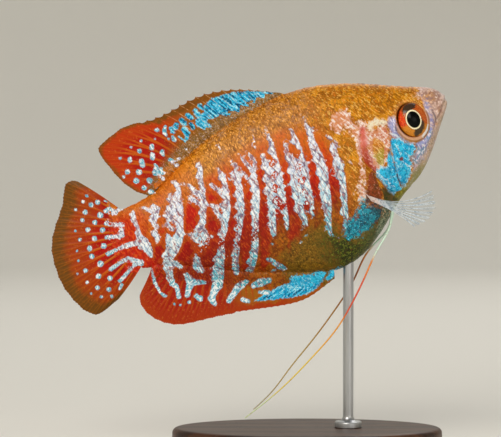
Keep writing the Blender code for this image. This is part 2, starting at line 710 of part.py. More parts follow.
def main():
    for obj in list(bpy.data.objects):
        bpy.data.objects.remove(obj)
    materials = {
        "skin": material("orange_skin", (0.80, 0.20, 0.04), 0.35),
        "jaw": material("pale_jaw", (0.62, 0.48, 0.36), 0.4),
        "cover": material("blue_gill_cover", (0.10, 0.50, 0.70), 0.3),
        "eye": material("dark_eye", (0.30, 0.12, 0.03), 0.08),
        "fin": material("red_orange_fin", (0.75, 0.16, 0.03), 0.4),
        "clear_fin": material("clear_fin", (0.75, 0.78, 0.80), 0.3),
        "feeler": material("golden_feeler", (0.85, 0.45, 0.10), 0.35),
        "base": material("walnut_base", (0.16, 0.08, 0.04), 0.45),
        "rod": material("steel_rod", (0.62, 0.63, 0.65), 0.3, 1.0),
    }
    fish = bpy.data.objects.new("fish_pose", None)
    bpy.context.scene.collection.objects.link(fish)
    fish.matrix_world = (
        Matrix.Translation((SNOUT_X * MM, 0, SNOUT_Z * MM))
        @ Matrix.Rotation(-math.radians(PITCH_DEG), 4, "Y")
    )
    make_head(materials, fish)
    make_trunk(materials, fish)
    make_dorsal_fin(materials, fish)
    make_anal_fin(materials, fish)
    make_tail_fin(materials, fish)
    make_pectoral_fin("pectoral_fin_right", -1, RIGHT_BEND, RIGHT_EDGE, materials, fish)
    make_pectoral_fin("pectoral_fin_left", 1, LEFT_BEND, LEFT_EDGE, materials, fish)
    make_feeler("pelvic_feeler_right", -1, RIGHT_FEELER, materials, fish)
    make_feeler("pelvic_feeler_left", 1, LEFT_FEELER, materials, fish)
    make_base(materials)
    make_rod(materials, fish)


main()
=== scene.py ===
# %% [markdown]
# # A dwarf gourami, life size, on a display stand
#
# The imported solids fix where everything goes: body, fins, feelers, base and rod.  This script adds the looks.
# It loads the solids first, so that each new piece can be set exactly where its solid is.

import math

import bpy
import numpy as np
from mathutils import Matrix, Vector


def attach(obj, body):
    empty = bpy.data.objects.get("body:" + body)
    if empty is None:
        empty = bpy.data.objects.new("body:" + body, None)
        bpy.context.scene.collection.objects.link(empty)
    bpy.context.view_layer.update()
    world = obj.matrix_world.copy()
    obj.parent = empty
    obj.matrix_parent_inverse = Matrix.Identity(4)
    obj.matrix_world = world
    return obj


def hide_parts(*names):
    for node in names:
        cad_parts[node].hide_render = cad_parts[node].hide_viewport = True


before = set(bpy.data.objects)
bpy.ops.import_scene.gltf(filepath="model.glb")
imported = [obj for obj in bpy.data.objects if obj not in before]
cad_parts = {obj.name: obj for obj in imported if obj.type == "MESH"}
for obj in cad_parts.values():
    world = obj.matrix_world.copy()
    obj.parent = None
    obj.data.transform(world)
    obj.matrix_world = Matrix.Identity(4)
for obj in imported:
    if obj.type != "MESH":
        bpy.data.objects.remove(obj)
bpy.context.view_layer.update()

# %% [markdown]
# ## The fish's own frame
#
# The fish hangs head-up, but its markings are easiest to place on a straight fish seen from its side.
# A place is given as in the solids: u millimetres behind the snout tip, h above the tip's level, and y
# towards the fish's left.  One turn and one shift then take every point to the display.

# %% From the fish's frame to the display
MM = 0.001
PITCH = math.radians(22.0)
SNOUT = np.array((23.5, 0.0, 59.6))


def on_display(points):
    """Points (-u, y, h) in millimetres, tipped head-up by the pitch and moved to the snout, in metres."""
    x, y, h = np.moveaxis(np.asarray(points, float), -1, 0)
    ahead = x * math.cos(PITCH) - h * math.sin(PITCH)
    up = x * math.sin(PITCH) + h * math.cos(PITCH)
    return (np.stack([ahead, y, up], -1) + SNOUT) * MM


print("snout tip:", on_display([0.0, 0.0, 0.0]).round(4))

# %% [markdown]
# ## Camera
#
# The photograph looks straight at the fish's right side.  A long lens from further off flattens the view as
# an aquarium picture does, and the distance follows from the real width that the picture shows.

# %% Camera
PHOTO_WIDTH, PHOTO_HEIGHT = 501, 437
PIXEL = 0.17  # millimetres of the fish for each pixel of the photograph
SNOUT_PIXEL = (445.5, 101.0)
LENS, SENSOR = 180.0, 36.0
ELEVATION = math.radians(2.0)

aim = SNOUT + PIXEL * np.array(
    (PHOTO_WIDTH / 2 - SNOUT_PIXEL[0], 0.0, SNOUT_PIXEL[1] - PHOTO_HEIGHT / 2)
)
distance = PHOTO_WIDTH * PIXEL * LENS / SENSOR
back_off = np.array((0.0, -math.cos(ELEVATION), math.sin(ELEVATION)))
camera_data = bpy.data.cameras.new("camera")
camera_data.lens = LENS
camera_data.sensor_width = SENSOR
camera = bpy.data.objects.new("camera", camera_data)
camera.location = (aim + back_off * distance) * MM
camera.rotation_mode = "QUATERNION"
camera.rotation_quaternion = Vector(-back_off).to_track_quat("-Z", "Y")
bpy.context.scene.collection.objects.link(camera)
bpy.context.scene.camera = camera
print("camera distance:", round(distance), "mm")

# %% [markdown]
# ## Curves
#
# The same curves shape the solids and the skin, so the two agree without any fitting.  A natural cubic spline
# passes through a few named points; drawn over the square root of u it also rounds the snout.

# %% Splines and paths


def cubic(points):
    """Natural cubic spline through (x, value) points: its second slopes solve one linear system."""
    points = np.array(points, float)
    x, value = points[np.argsort(points[:, 0])].T
    gap = np.diff(x)
    system = np.eye(len(x))
    right = np.zeros(len(x))
    for i in range(1, len(x) - 1):
        system[i, i - 1 : i + 2] = gap[i - 1], 2 * (gap[i - 1] + gap[i]), gap[i]
        right[i] = 6 * ((value[i + 1] - value[i]) / gap[i] - (value[i] - value[i - 1]) / gap[i - 1])
    bend = np.linalg.solve(system, right)

    def at(where):
        where = np.asarray(where, float)
        i = np.clip(np.searchsorted(x, where) - 1, 0, len(gap) - 1)
        a, b, g = x[i + 1] - where, where - x[i], gap[i]
        return (
            (bend[i] * a**3 + bend[i + 1] * b**3) / (6 * g)
            + (value[i] / g - bend[i] * g / 6) * a
            + (value[i + 1] / g - bend[i + 1] * g / 6) * b
        )

    return at


def body_line(points):
    """Spline in the square root of u, which rounds the snout as an ellipse does."""
    curve = cubic([(math.sqrt(u), value) for u, value in points])
    return lambda u: curve(np.sqrt(np.maximum(u, 0.0)))


def path(points, closed=False):
    """Smooth curve through points, of the share of its length from 0 to 1."""
    points = np.array(points, float)
    if closed:
        points = np.vstack([points[-3:], points, points[:3]])
    run = np.concatenate([[0], np.cumsum(np.linalg.norm(np.diff(points, axis=0), axis=1))])
    parts = [cubic(np.stack([run, axis], 1)) for axis in points.T]
    start, end = (run[3], run[-3]) if closed else (0.0, run[-1])
    return lambda share: np.stack([p(start + np.asarray(share) * (end - start)) for p in parts], -1)


def smoothstep(value, low, high):
    """0 below low, 1 above high, and the cubic 3t^2 - 2t^3 between them."""
    share = np.clip((value - low) / (high - low), 0, 1)
    return share * share * (3 - 2 * share)


def mound(value, width):
    """Bell of height 1 at 0: e to the minus (value / width) squared."""
    return np.exp(-((value / width) ** 2))


# %% Body lines
BACK_LINE = (
    (0.0, 0.4), (0.5, 1.95), (2.0, 3.25), (5.0, 4.6), (10.0, 7.0), (17.0, 10.0),
    (24.0, 11.3), (32.0, 10.7), (40.0, 9.1), (47.0, 6.5), (53.0, 4.0), (60.0, 3.7),
)
BELLY_LINE = (
    (0.0, 0.4), (0.5, -1.2), (2.0, -3.05), (5.0, -6.6), (9.0, -10.2), (13.0, -12.4),
    (18.0, -16.2), (23.0, -19.1), (28.0, -19.7), (36.0, -17.0), (44.0, -13.6),
    (51.0, -9.8), (60.0, -6.7),
)
WIDTH_LINE = (
    (0.0, 0.0), (0.5, 1.15), (2.0, 1.95), (5.0, 2.85), (10.0, 3.9), (16.0, 4.7),
    (24.0, 5.1), (32.0, 4.75), (40.0, 3.95), (48.0, 2.9), (54.0, 2.0), (60.0, 0.7),
)
WIDEST_LEVEL = -0.08
SECTION_POWER = 2.2
SECTION_ROOT = 0.52
TAIL_ROOT_LINE = ((-8.0, 57.5), (-1.5, 59.2), (5.0, 57.5))
FIN_THIN = 0.2  # half thickness where the tail stem has thinned into the tail fin

back = body_line(BACK_LINE)
belly = body_line(BELLY_LINE)
widest = body_line(WIDTH_LINE)
print("deepest at u =", max(range(60), key=lambda u: back(u) - belly(u)), "mm")

# %% [markdown]
# ## The body as one surface
#
# On a real fish one skin runs from the lips to the tail.  The solids part it into head, covers and trunk;
# here it is one surface again, a function of two parameters: u along the body and turn around it.  Turn 0
# is the belly, pi the back by way of the right side, and 2 pi the belly again.  A closed tube of this kind
# has no seam to hide, and relief can be added to it along its normals.

# %% Body surface


def half_width(u, level):
    """Half width at u and at a level from -1 at the belly to 1 at the back: a flattened superellipse."""
    above = (level - WIDEST_LEVEL) / (1 - WIDEST_LEVEL)
    below = (WIDEST_LEVEL - level) / (1 + WIDEST_LEVEL)
    share = np.clip(np.where(level > WIDEST_LEVEL, above, below), 0, 1)
    stem = FIN_THIN + (widest(u) - FIN_THIN) * (1 - smoothstep(u, 55.5, 59.6))
    return np.where(u > 50, stem, widest(u)) * (1 - share**SECTION_POWER) ** SECTION_ROOT


def height(u, turn):
    """h on the section at u: halfway between belly and back, less half their distance times cos(turn)."""
    return (back(u) + belly(u)) / 2 - np.cos(turn) * (back(u) - belly(u)) / 2


def body_point(u, turn):
    """Point (-u, y, h): y is the half width at the level -cos(turn), on the side where the turn is."""
    side = -np.sign(np.sin(turn))
    return np.stack([-u, side * half_width(u, -np.cos(turn)), height(u, turn)], -1)


def body_normal(u, turn, step=1e-3):
    """Unit normal: the cross product of small moves around and along the surface."""
    along = body_point(u + step, turn) - body_point(np.maximum(u - step, 0), turn)
    around = body_point(u, turn + step) - body_point(u, turn - step)
    normal = np.cross(around, along)
    return normal / np.linalg.norm(normal, axis=-1)[..., None]


def surface_y(u, h):
    """Half width of the body at the place (u, h) of its side view."""
    level = (2 * h - back(u) - belly(u)) / (back(u) - belly(u))
    return half_width(u, level)


print("half width at the eye:", round(float(surface_y(6.5, -0.9)), 2), "mm")

# %% [markdown]
# ## Strands and outlines
#
# Every marking is drawn as a maker would mask it: bars are strands, chains of short stretches whose half
# width runs from one named point to the next, and patches are closed outlines.  For each point of a mesh
# the signed distance to them, in millimetres and positive inside, is worked out for all points at once.  A
# distance can be blurred, broken by noise or turned into a crisp edge later, which a plain mask could not.

# %% Signed distances
RIM, FAR = 4.0, 9.0


def within(points, corners):
    """Numbers of the points in a marking's box and a rim round it; further off its distance is -FAR."""
    low, high = corners[:, :2].min(0) - RIM, corners[:, :2].max(0) + RIM
    return np.flatnonzero(((points > low) & (points < high)).all(1))


def to_strands(points, strands):
    """Distance inside the nearest strand, and the wear there: half width less the gap to its line."""
    best = np.full(len(points), -FAR)
    wear = np.zeros(len(points))
    for strand in strands:
        line = np.array([(*p, 0.0, 0.0)[:4] for p in strand], float)
        if len(line) == 1:
            line = np.vstack([line, line])
        near = within(points, line)
        p = points[near]
        for start, end in zip(line[:-1], line[1:]):
            way = end[:2] - start[:2]
            share = np.clip((p - start[:2]) @ way / max(way @ way, 1e-9), 0, 1)
            gap = np.linalg.norm(p - start[:2] - share[:, None] * way, axis=1)
            inside = start[2] + share * (end[2] - start[2]) - gap
            nearer = inside > best[near]
            wear[near] = np.where(nearer, start[3] + share * (end[3] - start[3]), wear[near])
            best[near] = np.maximum(best[near], inside)
    return best, wear


def to_outline(points, outline):
    """Distance to the nearest side of a closed outline, positive where a ray to the left crosses it oddly."""
    corners = np.array(outline, float)
    signed = np.full(len(points), -FAR)
    near = within(points, corners)
    p = points[near]
    gap = np.full(len(p), FAR)
    inside = np.zeros(len(p), bool)
    for start, end in zip(corners, np.roll(corners, -1, 0)):
        way = end - start
        share = np.clip((p - start) @ way / (way @ way), 0, 1)
        gap = np.minimum(gap, np.linalg.norm(p - start - share[:, None] * way, axis=1))
        spans = (start[1] > p[:, 1]) != (end[1] > p[:, 1])
        crossing = start[0] + (p[:, 1] - start[1]) / (way[1] or 1e-9) * way[0]
        inside ^= spans & (p[:, 0] < crossing)
    signed[near] = np.where(inside, gap, -gap)
    return signed


def to_outlines(points, outlines):
    """Distance inside the outline that a point is deepest in."""
    return np.max([to_outline(points, outline) for outline in outlines], axis=0)


# %% [markdown]
# ## Relief of the head
#
# The head gets the most care.  Raised rims round the eyes, lips either side of the line of the mouth,
# nostrils, the crease of the lower jaw, the groove of the cheek plate and the gill cover with its free rear
# edge are all heights along the normal, added to one another.  Each is a mound or a step of a distance to a
# named line.

# %% Relief
EYE_U, EYE_H, EYE_Y = 6.5, -0.9, 2.6
EYE_RADII = (2.6, 1.5, 3.0)
EYE_FORWARD = math.radians(16.0)
ORBIT_AT = (6.85, -0.74)
ORBIT = (2.5, 3.18)
MOUTH = [(-0.6, 1.0), (0.0, 0.4), (1.2, -0.8), (2.5, -2.25)]
JAW_CREASE = [(2.7, -2.4), (4.7, -4.7), (7.3, -7.7), (8.8, -9.4), (10.6, -10.9)]
NOSTRILS = ((2.1, 2.2, 0.2), (3.6, 2.8, 0.3))
GILL_COVER = (
    (10.7, 1.0), (13.4, 1.5), (15.6, -0.6), (16.3, -4.2), (15.5, -8.0), (13.9, -10.9),
    (11.2, -10.4), (9.7, -7.0), (10.2, -3.2),
)
CHEEK_GROOVE = [(10.9, -0.6), (11.2, -2.5), (11.5, -4.5), (11.9, -6.0), (12.4, -8.6), (12.6, -10.4)]
CHEEK_FOLDS = ([(10.4, -5.0), (10.4, -7.0), (9.7, -8.0)], [(14.2, -6.3), (13.9, -8.2), (13.6, -10.6)])
COAT_DEPTH = 0.1
cover_edge = path(GILL_COVER, closed=True)(np.arange(48) / 48)


def in_oval(u, h, middle, radii):
    """Distance from the middle of an oval, which is 1 on its outline."""
    return np.hypot((u - middle[0]) / radii[0], (h - middle[1]) / radii[1])


def line_gap(points, line):
    """Distance from each point to a chain of straight stretches."""
    return -to_strands(points, [line])[0]


def relief(u, h):
    """Height of the skin over the plain body, in millimetres, from the features of the head."""
    shape = np.shape(u)
    points = np.stack([np.ravel(u), np.ravel(h)], 1)
    u, h = points.T
    high = np.zeros(len(points))
    near = (u < 19.5) & (u >= 0)
    p, u, h = points[near], u[near], h[near]
    part = np.zeros(len(p))

    round_eye = in_oval(u, h, ORBIT_AT, ORBIT)
    part += (0.08 + 0.12 * smoothstep(-h, -1.5, 1)) * mound(round_eye - 1.07, 0.1)
    part -= 1.3 * smoothstep(1 - round_eye, 0.0, 0.2)
    part += 0.12 * mound(round_eye - 1.42, 0.12) * smoothstep(-h, 0.5, 2.5)

    mouth = line_gap(p, MOUTH)
    closing = smoothstep(2.9 - u, 0, 1.0)
    part += closing * (0.2 * mound(mouth - 0.42, 0.3) - 0.24 * mound(mouth, 0.12))
    part -= 0.14 * mound(line_gap(p, JAW_CREASE), 0.22)
    for nostril_u, nostril_h, radius in NOSTRILS:
        gap = np.hypot(u - nostril_u, h - nostril_h)
        part += 0.08 * mound(gap - 1.5 * radius, 0.5 * radius) - 0.3 * mound(gap, 0.7 * radius)

    cover = to_outline(p, cover_edge)
    rear = smoothstep(u, 11.5, 14.5)
    part += rear * (0.38 * smoothstep(cover, -0.08, 0.1) * mound(np.maximum(cover, 0), 3.0))
    part -= rear * 0.42 * mound(cover + 0.35, 0.3) * (cover < 0)
    part += (1 - rear) * 0.06 * smoothstep(cover, -0.3, 0.3)
    part -= 0.22 * mound(line_gap(p, CHEEK_GROOVE), 0.16)
    part += 0.12 * mound(line_gap(p, CHEEK_GROOVE) - 0.45, 0.3)
    for fold in CHEEK_FOLDS:
        part -= 0.1 * mound(line_gap(p, fold), 0.14)
    high[near] = part
    return high.reshape(shape)


def skin_level(u, h):
    """Height of the skin over the plain body: the relief, less the room for the coat of scales."""
    return relief(u, h) - COAT_DEPTH * smoothstep(u, 8, 20)


def skin_point(u, turn):
    """Point on the skin: body point plus normal times the skin's height."""
    up = skin_level(u, height(u, turn))
    return body_point(u, turn) + body_normal(u, turn) * up[..., None]


# %% [markdown]
# ## Markings
#
# A male in full colour has light blue bars over red.  On this one the bars fork towards the back and break
# into beads towards the belly, so each is drawn strand by strand: every named point is u, h, the half width
# and, where the scales have lost their shine, the wear from 0 to 1.

# %% Bars of the flank
BARS = [
    [(21.1, 2.1, 0.3), (20.3, 1, 0.28), (19.6, -0.6, 0.2)],
    [(20.9, 0.4, 0.4), (21, -0.9, 0.5), (20.9, -3.2, 0.58), (21.4, -5.6, 0.6), (22, -7.8, 0.55),
     (22.7, -10, 0.5), (23.2, -11.8, 0.45), (23.8, -13.3, 0.3, 0.5)],
    [(23.4, 7.2, 0.1), (23.6, 5.4, 0.28), (23.5, 3.7, 0.42), (23.8, 1.5, 0.7), (23.7, -1.2, 0.85),
     (24.1, -3.9, 0.8), (24.8, -6.4, 0.88), (25.4, -8.7, 0.85), (25.8, -10.2, 0.6), (26.4, -12, 0.45),
     (26.5, -13.7, 0.3, 0.4)],
    [(22.9, 4.5, 0.15), (22.2, 3.5, 0.15)],
    [(26.2, 5.4, 0.28), (26.2, 3.8, 0.45), (26.1, 2.2, 0.42), (26.3, 0.6, 0.5), (26.3, -1.5, 0.42),
     (27, -3.9, 0.42), (27.4, -6.4, 0.42), (27.9, -8.1, 0.4), (28.3, -9.7, 0.3)],
    [(28, 4.2, 0.14), (28.1, 2.8, 0.3), (28.5, 1.1, 0.5), (28.4, -0.6, 0.5), (28.9, -2.4, 0.55),
     (29.4, -4.3, 0.65), (29.6, -6.4, 0.68), (29.9, -8.4, 0.6), (29.8, -10.4, 0.4)],
    [(27.5, 1.5, 0.35, 0.6), (27.4, -1.9, 0.4, 0.55), (27.9, -5, 0.38, 0.6), (28.6, -7, 0.3, 0.7)],
    [(30.1, 8.1, 0.12), (30.1, 5.9, 0.28), (30.2, 4.5, 0.42), (30.5, 2.2, 0.45), (30.6, 0.4, 0.42),
     (31, -1.6, 0.42), (31.6, -3.9, 0.42), (32.1, -6, 0.45), (32.5, -8.1, 0.42), (33.1, -9.9, 0.3)],
    [(32.4, 3.3, 0.3), (32.3, 1.9, 0.45), (32.5, 0.3, 0.5), (33, -1.4, 0.58), (33.6, -3.5, 0.62),
     (34, -5.2, 0.58), (34.6, -6.9, 0.6), (35.1, -8.3, 0.62), (35.6, -10, 0.45)],
    [(31.5, 1.5, 0.4, 0.6), (32, -1.5, 0.38, 0.55), (32.9, -5.2, 0.35, 0.6), (32.8, -7, 0.3, 0.7)],
    [(32.5, 6.9, 0.12), (32.9, 4.6, 0.18)],
    [(36, 5, 0.15), (35.4, 3, 0.38), (34.9, 1.5, 0.38), (34.8, 0.2, 0.38)],
    [(34.7, 4.8, 0.22), (34.1, 3.5, 0.36), (33.9, 2.4, 0.3), (34.6, 1.2, 0.32)],
    [(36.6, 1.9, 0.28), (35.9, 0.3, 0.35), (35.5, -0.9, 0.5)],
    [(34.9, 0.6, 0.36), (35.3, -0.8, 0.58), (35.5, -2, 0.62), (36.1, -3.4, 0.66), (36.7, -4.6, 0.68),
     (37.3, -6, 0.6, 0.2), (37.9, -7.6, 0.55, 0.45), (38.6, -9.3, 0.52, 0.6), (39.2, -10.7, 0.62, 0.3),
     (40.3, -12.5, 0.68, 0.2), (41.4, -14.2, 0.5, 0.3)],
    [(37.5, 4.2, 0.2), (37.1, 2.9, 0.36), (37.2, 1.8, 0.34), (37.7, 0.8, 0.42)],
    [(38.4, 2.3, 0.28), (37.8, 1, 0.48), (37.9, -0.2, 0.6), (38.3, -1.6, 0.64), (38.9, -3.4, 0.64),
     (39.5, -4.9, 0.6), (40.3, -6.4, 0.5, 0.25), (41, -7.6, 0.48, 0.45), (41.8, -9, 0.48, 0.6),
     (42.5, -10.2, 0.58, 0.3), (43.4, -12, 0.58, 0.2), (43.8, -13.7, 0.45, 0.3)],
    [(40.2, 4, 0.25), (39.8, 2.7, 0.42), (39.9, 1.5, 0.45), (40.2, 0, 0.45), (40.6, -1.3, 0.46),
     (41, -2.8, 0.5), (41.7, -4, 0.55)],
    [(42.2, 1.8, 0.4), (41.4, 0.3, 0.4), (40.8, -1.2, 0.4)],
    [(43.3, -1.6, 0.42), (43, -3.2, 0.4), (42.5, -4.5, 0.45)],
    [(41.9, -2, 0.42), (41.6, -3.2, 0.4)],
    [(41.7, -4, 0.55), (42.4, -5, 0.58), (43, -6.2, 0.52), (43.9, -7.2, 0.48, 0.35),
     (44.4, -8.5, 0.45, 0.7), (45.2, -9.9, 0.8, 0.2), (45.9, -11.1, 0.8), (46.9, -12.8, 1.1),
     (47.6, -14.4, 0.92), (48.6, -15.3, 0.6), (49.4, -16.2, 0.5), (49.3, -17.2, 0.42)],
    [(42.7, 5.9, 0.3), (43.1, 4.5, 0.5), (43.6, 3.1, 0.48), (43.8, 1.6, 0.45), (44.2, 0.4, 0.46),
     (44.4, -1, 0.42)],
    [(45.8, 3.4, 0.24), (45.2, 1.9, 0.38), (44.6, 0.6, 0.4)],
    [(46.4, 3.8, 0.2)],
    [(46.3, 1.1, 0.38), (45.4, -0.2, 0.38), (44.8, -1.4, 0.36)],
    [(44.4, -1, 0.45), (45.3, -2.1, 0.52), (45.7, -3.3, 0.56), (46.4, -4.2, 0.6), (46.8, -5.4, 1.1, 0.35),
     (47.4, -6.8, 1.25, 0.65), (47.9, -8, 0.6, 0.9)],
    [(45.5, -6.4, 0.36)],
    [(48.8, -4.7, 0.34), (48.3, -5.8, 0.4, 0.3)],
    [(49.2, -8.9, 0.55), (49.6, -10.3, 0.78), (49.2, -11.2, 0.5)],
    [(47.7, 4.6, 0.3), (47.6, 3.2, 0.42), (48.1, 1.6, 0.46), (48.4, 0.2, 0.44), (48.8, -1.1, 0.44),
     (49.4, -2.4, 0.46), (50, -3.9, 0.5)],
    [(49.4, 3.1, 0.17), (48.6, 2.3, 0.26)],
    [(50, 2.3, 0.3), (49.4, 1.5, 0.38), (48.9, 0.6, 0.34)],
    [(50.5, 1, 0.33), (50, 0.1, 0.38), (49.5, -0.9, 0.34)],
    [(51.1, -0.2, 0.34), (50.3, -1.5, 0.38), (49.9, -2.5, 0.34)],
    [(51.6, -1.7, 0.42), (51, -2.9, 0.38)],
    [(50, -3.9, 0.5), (50.7, -4.6, 0.8), (52.1, -5.9, 1.0, 0.2), (53.7, -7.1, 0.85), (54.2, -8.1, 0.75),
     (54.6, -10.2, 0.58), (54.7, -11.4, 0.5), (54.2, -12.2, 0.35), (54.5, -13.9, 0.38)],
    [(52.2, -3.6, 0.42), (52.7, -4.9, 0.5)],
    [(54.2, -7.9, 0.5), (52.9, -8.3, 0.58), (52.2, -9.3, 0.32)],
    [(52.7, 2.3, 0.28), (52, 1.4, 0.35), (52.8, 0.4, 0.4)],
    [(54.3, 2.5, 0.25), (53.4, 1.5, 0.4), (52.8, 0.2, 0.38), (53.8, -0.3, 0.42), (53.3, -1.5, 0.38)],
    [(54.3, -2, 0.45), (53.8, -3, 0.4), (54.4, -3.8, 0.35)],
    [(56.2, 2.5, 0.25), (56.7, 1.3, 0.55), (56.5, -0.4, 0.35), (56.9, -1.7, 0.55), (56.6, -3, 1.05),
     (56.2, -4.6, 0.7), (56.2, -5.8, 0.3)],
    [(30.9, -11.1, 0.3)], [(30.4, -12.3, 0.38)], [(31.7, -12.8, 0.35, 0.4)],
    [(26.6, -13.5, 0.4)], [(25.6, -14.5, 0.28)], [(27.2, -12.4, 0.33)],
    [(37.7, -13.6, 0.36, 0.2), (37.2, -14.5, 0.4, 0.3), (36.5, -15.3, 0.4, 0.3), (35.9, -16.2, 0.3)],
    [(38, -15.6, 0.26), (37.5, -15.6, 0.26)], [(36.4, -11.3, 0.28)], [(35.3, -11.1, 0.25)],
    [(22.3, -3.2, 0.12), (22.2, -4.6, 0.1)], [(19.2, -2.2, 0.18), (18.9, -4.4, 0.12)],
    [(38.8, 7.6, 0.26), (38.5, 6.9, 0.2)],
]
ANAL_MARKS = [
    [(49.7, -16.1, 0.4), (49.5, -17, 0.3)],
    [(51.9, -11, 0.5), (51.6, -12.3, 0.8), (52.3, -13.1, 0.5), (53.1, -14.2, 0.4)],
    [(51.6, -12.3, 0.6), (50.5, -12.8, 0.5), (49.4, -13.3, 0.25)],
    [(51.7, -14.9, 0.4), (51.2, -15.6, 0.45)], [(53.2, -15.4, 0.3)], [(54.8, -15.3, 0.2)],
    [(55.7, -14.8, 0.2)],
    [(57, -7.8, 0.2), (57.4, -9.9, 0.27), (57.2, -12, 0.2), (56.6, -12.9, 0.25)],
    [(42.9, -15.8, 0.45), (44.8, -16.3, 0.6), (46.9, -17.7, 0.4)],
    [(42, -16.9, 0.45), (40.6, -16.8, 0.75), (39.2, -17, 0.5)],
    [(44.6, -18.4, 0.4), (43.8, -19, 0.3)],
    [(41.5, -18.3, 0.25), (40.2, -18.9, 0.45)],
]
DORSAL_DOTS = [
    [(47.3, 13.8, 0.38)], [(45.8, 13.8, 0.24), (46.3, 12.9, 0.36), (46.2, 12.4, 0.21)],
    [(45.3, 11.7, 0.28), (45.2, 11.1, 0.36)], [(49.1, 11.6, 0.38), (49.3, 11.2, 0.35)],
    [(49.6, 10.2, 0.42), (49.8, 9.7, 0.42)], [(51.4, 11.6, 0.38)], [(52.5, 12.7, 0.24)], [(50.5, 13.1, 0.26)],
    [(53.4, 11, 0.36), (53.5, 10.7, 0.36)], [(54.9, 11.7, 0.25)], [(51.7, 9.9, 0.42), (51.8, 9.2, 0.45)],
    [(52.8, 8.3, 0.5)], [(54.6, 9.1, 0.43)], [(55.5, 8.5, 0.25)], [(53.8, 7.1, 0.5)], [(51.7, 6.3, 0.5)],
    [(53, 5.5, 0.43)], [(52.3, 4.5, 0.38), (51.7, 4.1, 0.24)],
    [(47.7, 10.2, 0.24), (48, 9.9, 0.35), (47.9, 9.4, 0.24)],
    [(49.8, 8.4, 0.24), (49.8, 7.8, 0.42), (50.3, 7.2, 0.49), (50, 6.8, 0.35)],
    [(49.1, 7.4, 0.31), (49.4, 7, 0.42), (49, 6.6, 0.35)], [(49.6, 6.1, 0.31), (49.4, 5.7, 0.35)],
    [(47.1, 8.2, 0.38), (46.8, 7.8, 0.35)], [(46.4, 7, 0.35)], [(45.6, 7.9, 0.31)], [(43.9, 8.9, 0.24)],
    [(46.1, 11.7, 0.18)], [(48.2, 12.5, 0.18)],
]
TAIL_MARKS = [
    [(61.3, 2.3, 0.33), (60, 1.6, 0.35), (58.8, 1.1, 0.35), (59.4, 0.1, 0.42), (59.5, -0.7, 0.38),
     (60.9, -0.3, 0.35), (62.1, 0.1, 0.33)],
    [(60.6, 4.3, 0.33), (59.8, 4.3, 0.48), (59.1, 3.4, 0.42)], [(58.2, 3.7, 0.4), (57.6, 3.7, 0.3)],
    [(60.1, 6, 0.12), (59.5, 5.3, 0.12)],
    [(57.2, -2.8, 0.6), (58.2, -2.7, 0.45), (59.4, -2.4, 0.42), (61, -2.5, 0.3), (63, -2.6, 0.35)],
    [(63.5, -5.2, 0.35), (61.6, -4.8, 0.3), (60, -4.5, 0.35), (59.1, -5.4, 0.4), (58.3, -6.1, 0.6)],
    [(59.3, -6, 0.3), (60.7, -6.6, 0.28), (62, -7.3, 0.3), (62.8, -7.6, 0.32)],
    [(62.8, -8.4, 0.25), (63.4, -8.9, 0.22)],
    *[[dot] for dot in (
        (62.6, 7.9, 0.26), (63.6, 7.2, 0.28), (62.5, 6.2, 0.41), (61.3, 6.2, 0.4), (63.9, 5.4, 0.41),
        (65.3, 6.4, 0.23), (64.9, 4.3, 0.35), (63, 3.2, 0.41), (64.6, 2.5, 0.41), (61.7, 4, 0.49),
        (62.3, 1.5, 0.44), (66.5, 1.4, 0.28), (64.1, 0.7, 0.44), (65.5, -0.6, 0.43), (63.1, -1.1, 0.49),
        (65.7, -2, 0.41), (64.8, -3.7, 0.52), (67.6, -3.8, 0.37), (65.9, -5.5, 0.44), (64.2, -6.6, 0.44),
        (68.1, -5.8, 0.28), (66.8, -7.3, 0.4), (65.1, -8.3, 0.4), (65.1, -9.6, 0.26), (66.8, -9, 0.26),
        (66.7, 3.1, 0.19), (68.1, -1.8, 0.2), (69.1, -3.8, 0.17), (68.2, -7.8, 0.19), (67.7, -0.2, 0.2),
    )],
]
FIN_MARKS = ANAL_MARKS + DORSAL_DOTS + TAIL_MARKS
BLUE_WEDGE = [
    [(29.9, -19), (31.8, -18.9), (33.7, -18.3), (35.4, -17.8), (36.1, -18.7), (38, -18.7), (40.5, -18.9),
     (42.8, -19.4), (40.9, -20), (37.7, -21), (35.9, -21.4), (33.8, -21.6), (31.9, -21.1), (30.3, -20.1)],
    [(27.2, -19.6), (28.7, -19.5), (30.2, -20.3), (30, -20.8), (28.8, -20.5), (27.7, -19.9)],
]
print(len(BARS), "strands on the flank,", len(FIN_MARKS), "on the fins")

# %% Patches of the head and breast
CHEEK_BLUE = [
    [(11.2, -2.2), (10.6, -2.6), (9.8, -2.8), (9.4, -3.7), (8.8, -4.3), (8, -4.6), (7.9, -5.5),
     (8.6, -6), (9.4, -6.2), (9.7, -6.6), (9.4, -7.4), (9.3, -8), (9.9, -8), (10.4, -8.9), (11, -9.6),
     (11.3, -10.2), (12.3, -10.5), (12.6, -9.7), (12.4, -8.7), (12.3, -7.8), (12.2, -6.6), (12.1, -5.3),
     (12, -4.2), (11.7, -3.1)],
    [(13.3, -5.2), (12.9, -4.7), (12.4, -4.5), (12.3, -5.4), (12.3, -6.4), (12.4, -7.6), (12.5, -8.7),
     (12.7, -10), (12.7, -10.8), (13.3, -11.2), (14, -11.5), (14.6, -11), (14.9, -10.1), (15.1, -9.1),
     (15.4, -8.2), (15.8, -7.4), (15.8, -6.7), (15.1, -6.3), (14.6, -6.1), (14.2, -6.2), (13.9, -6.6),
     (13.4, -6.3)],
]
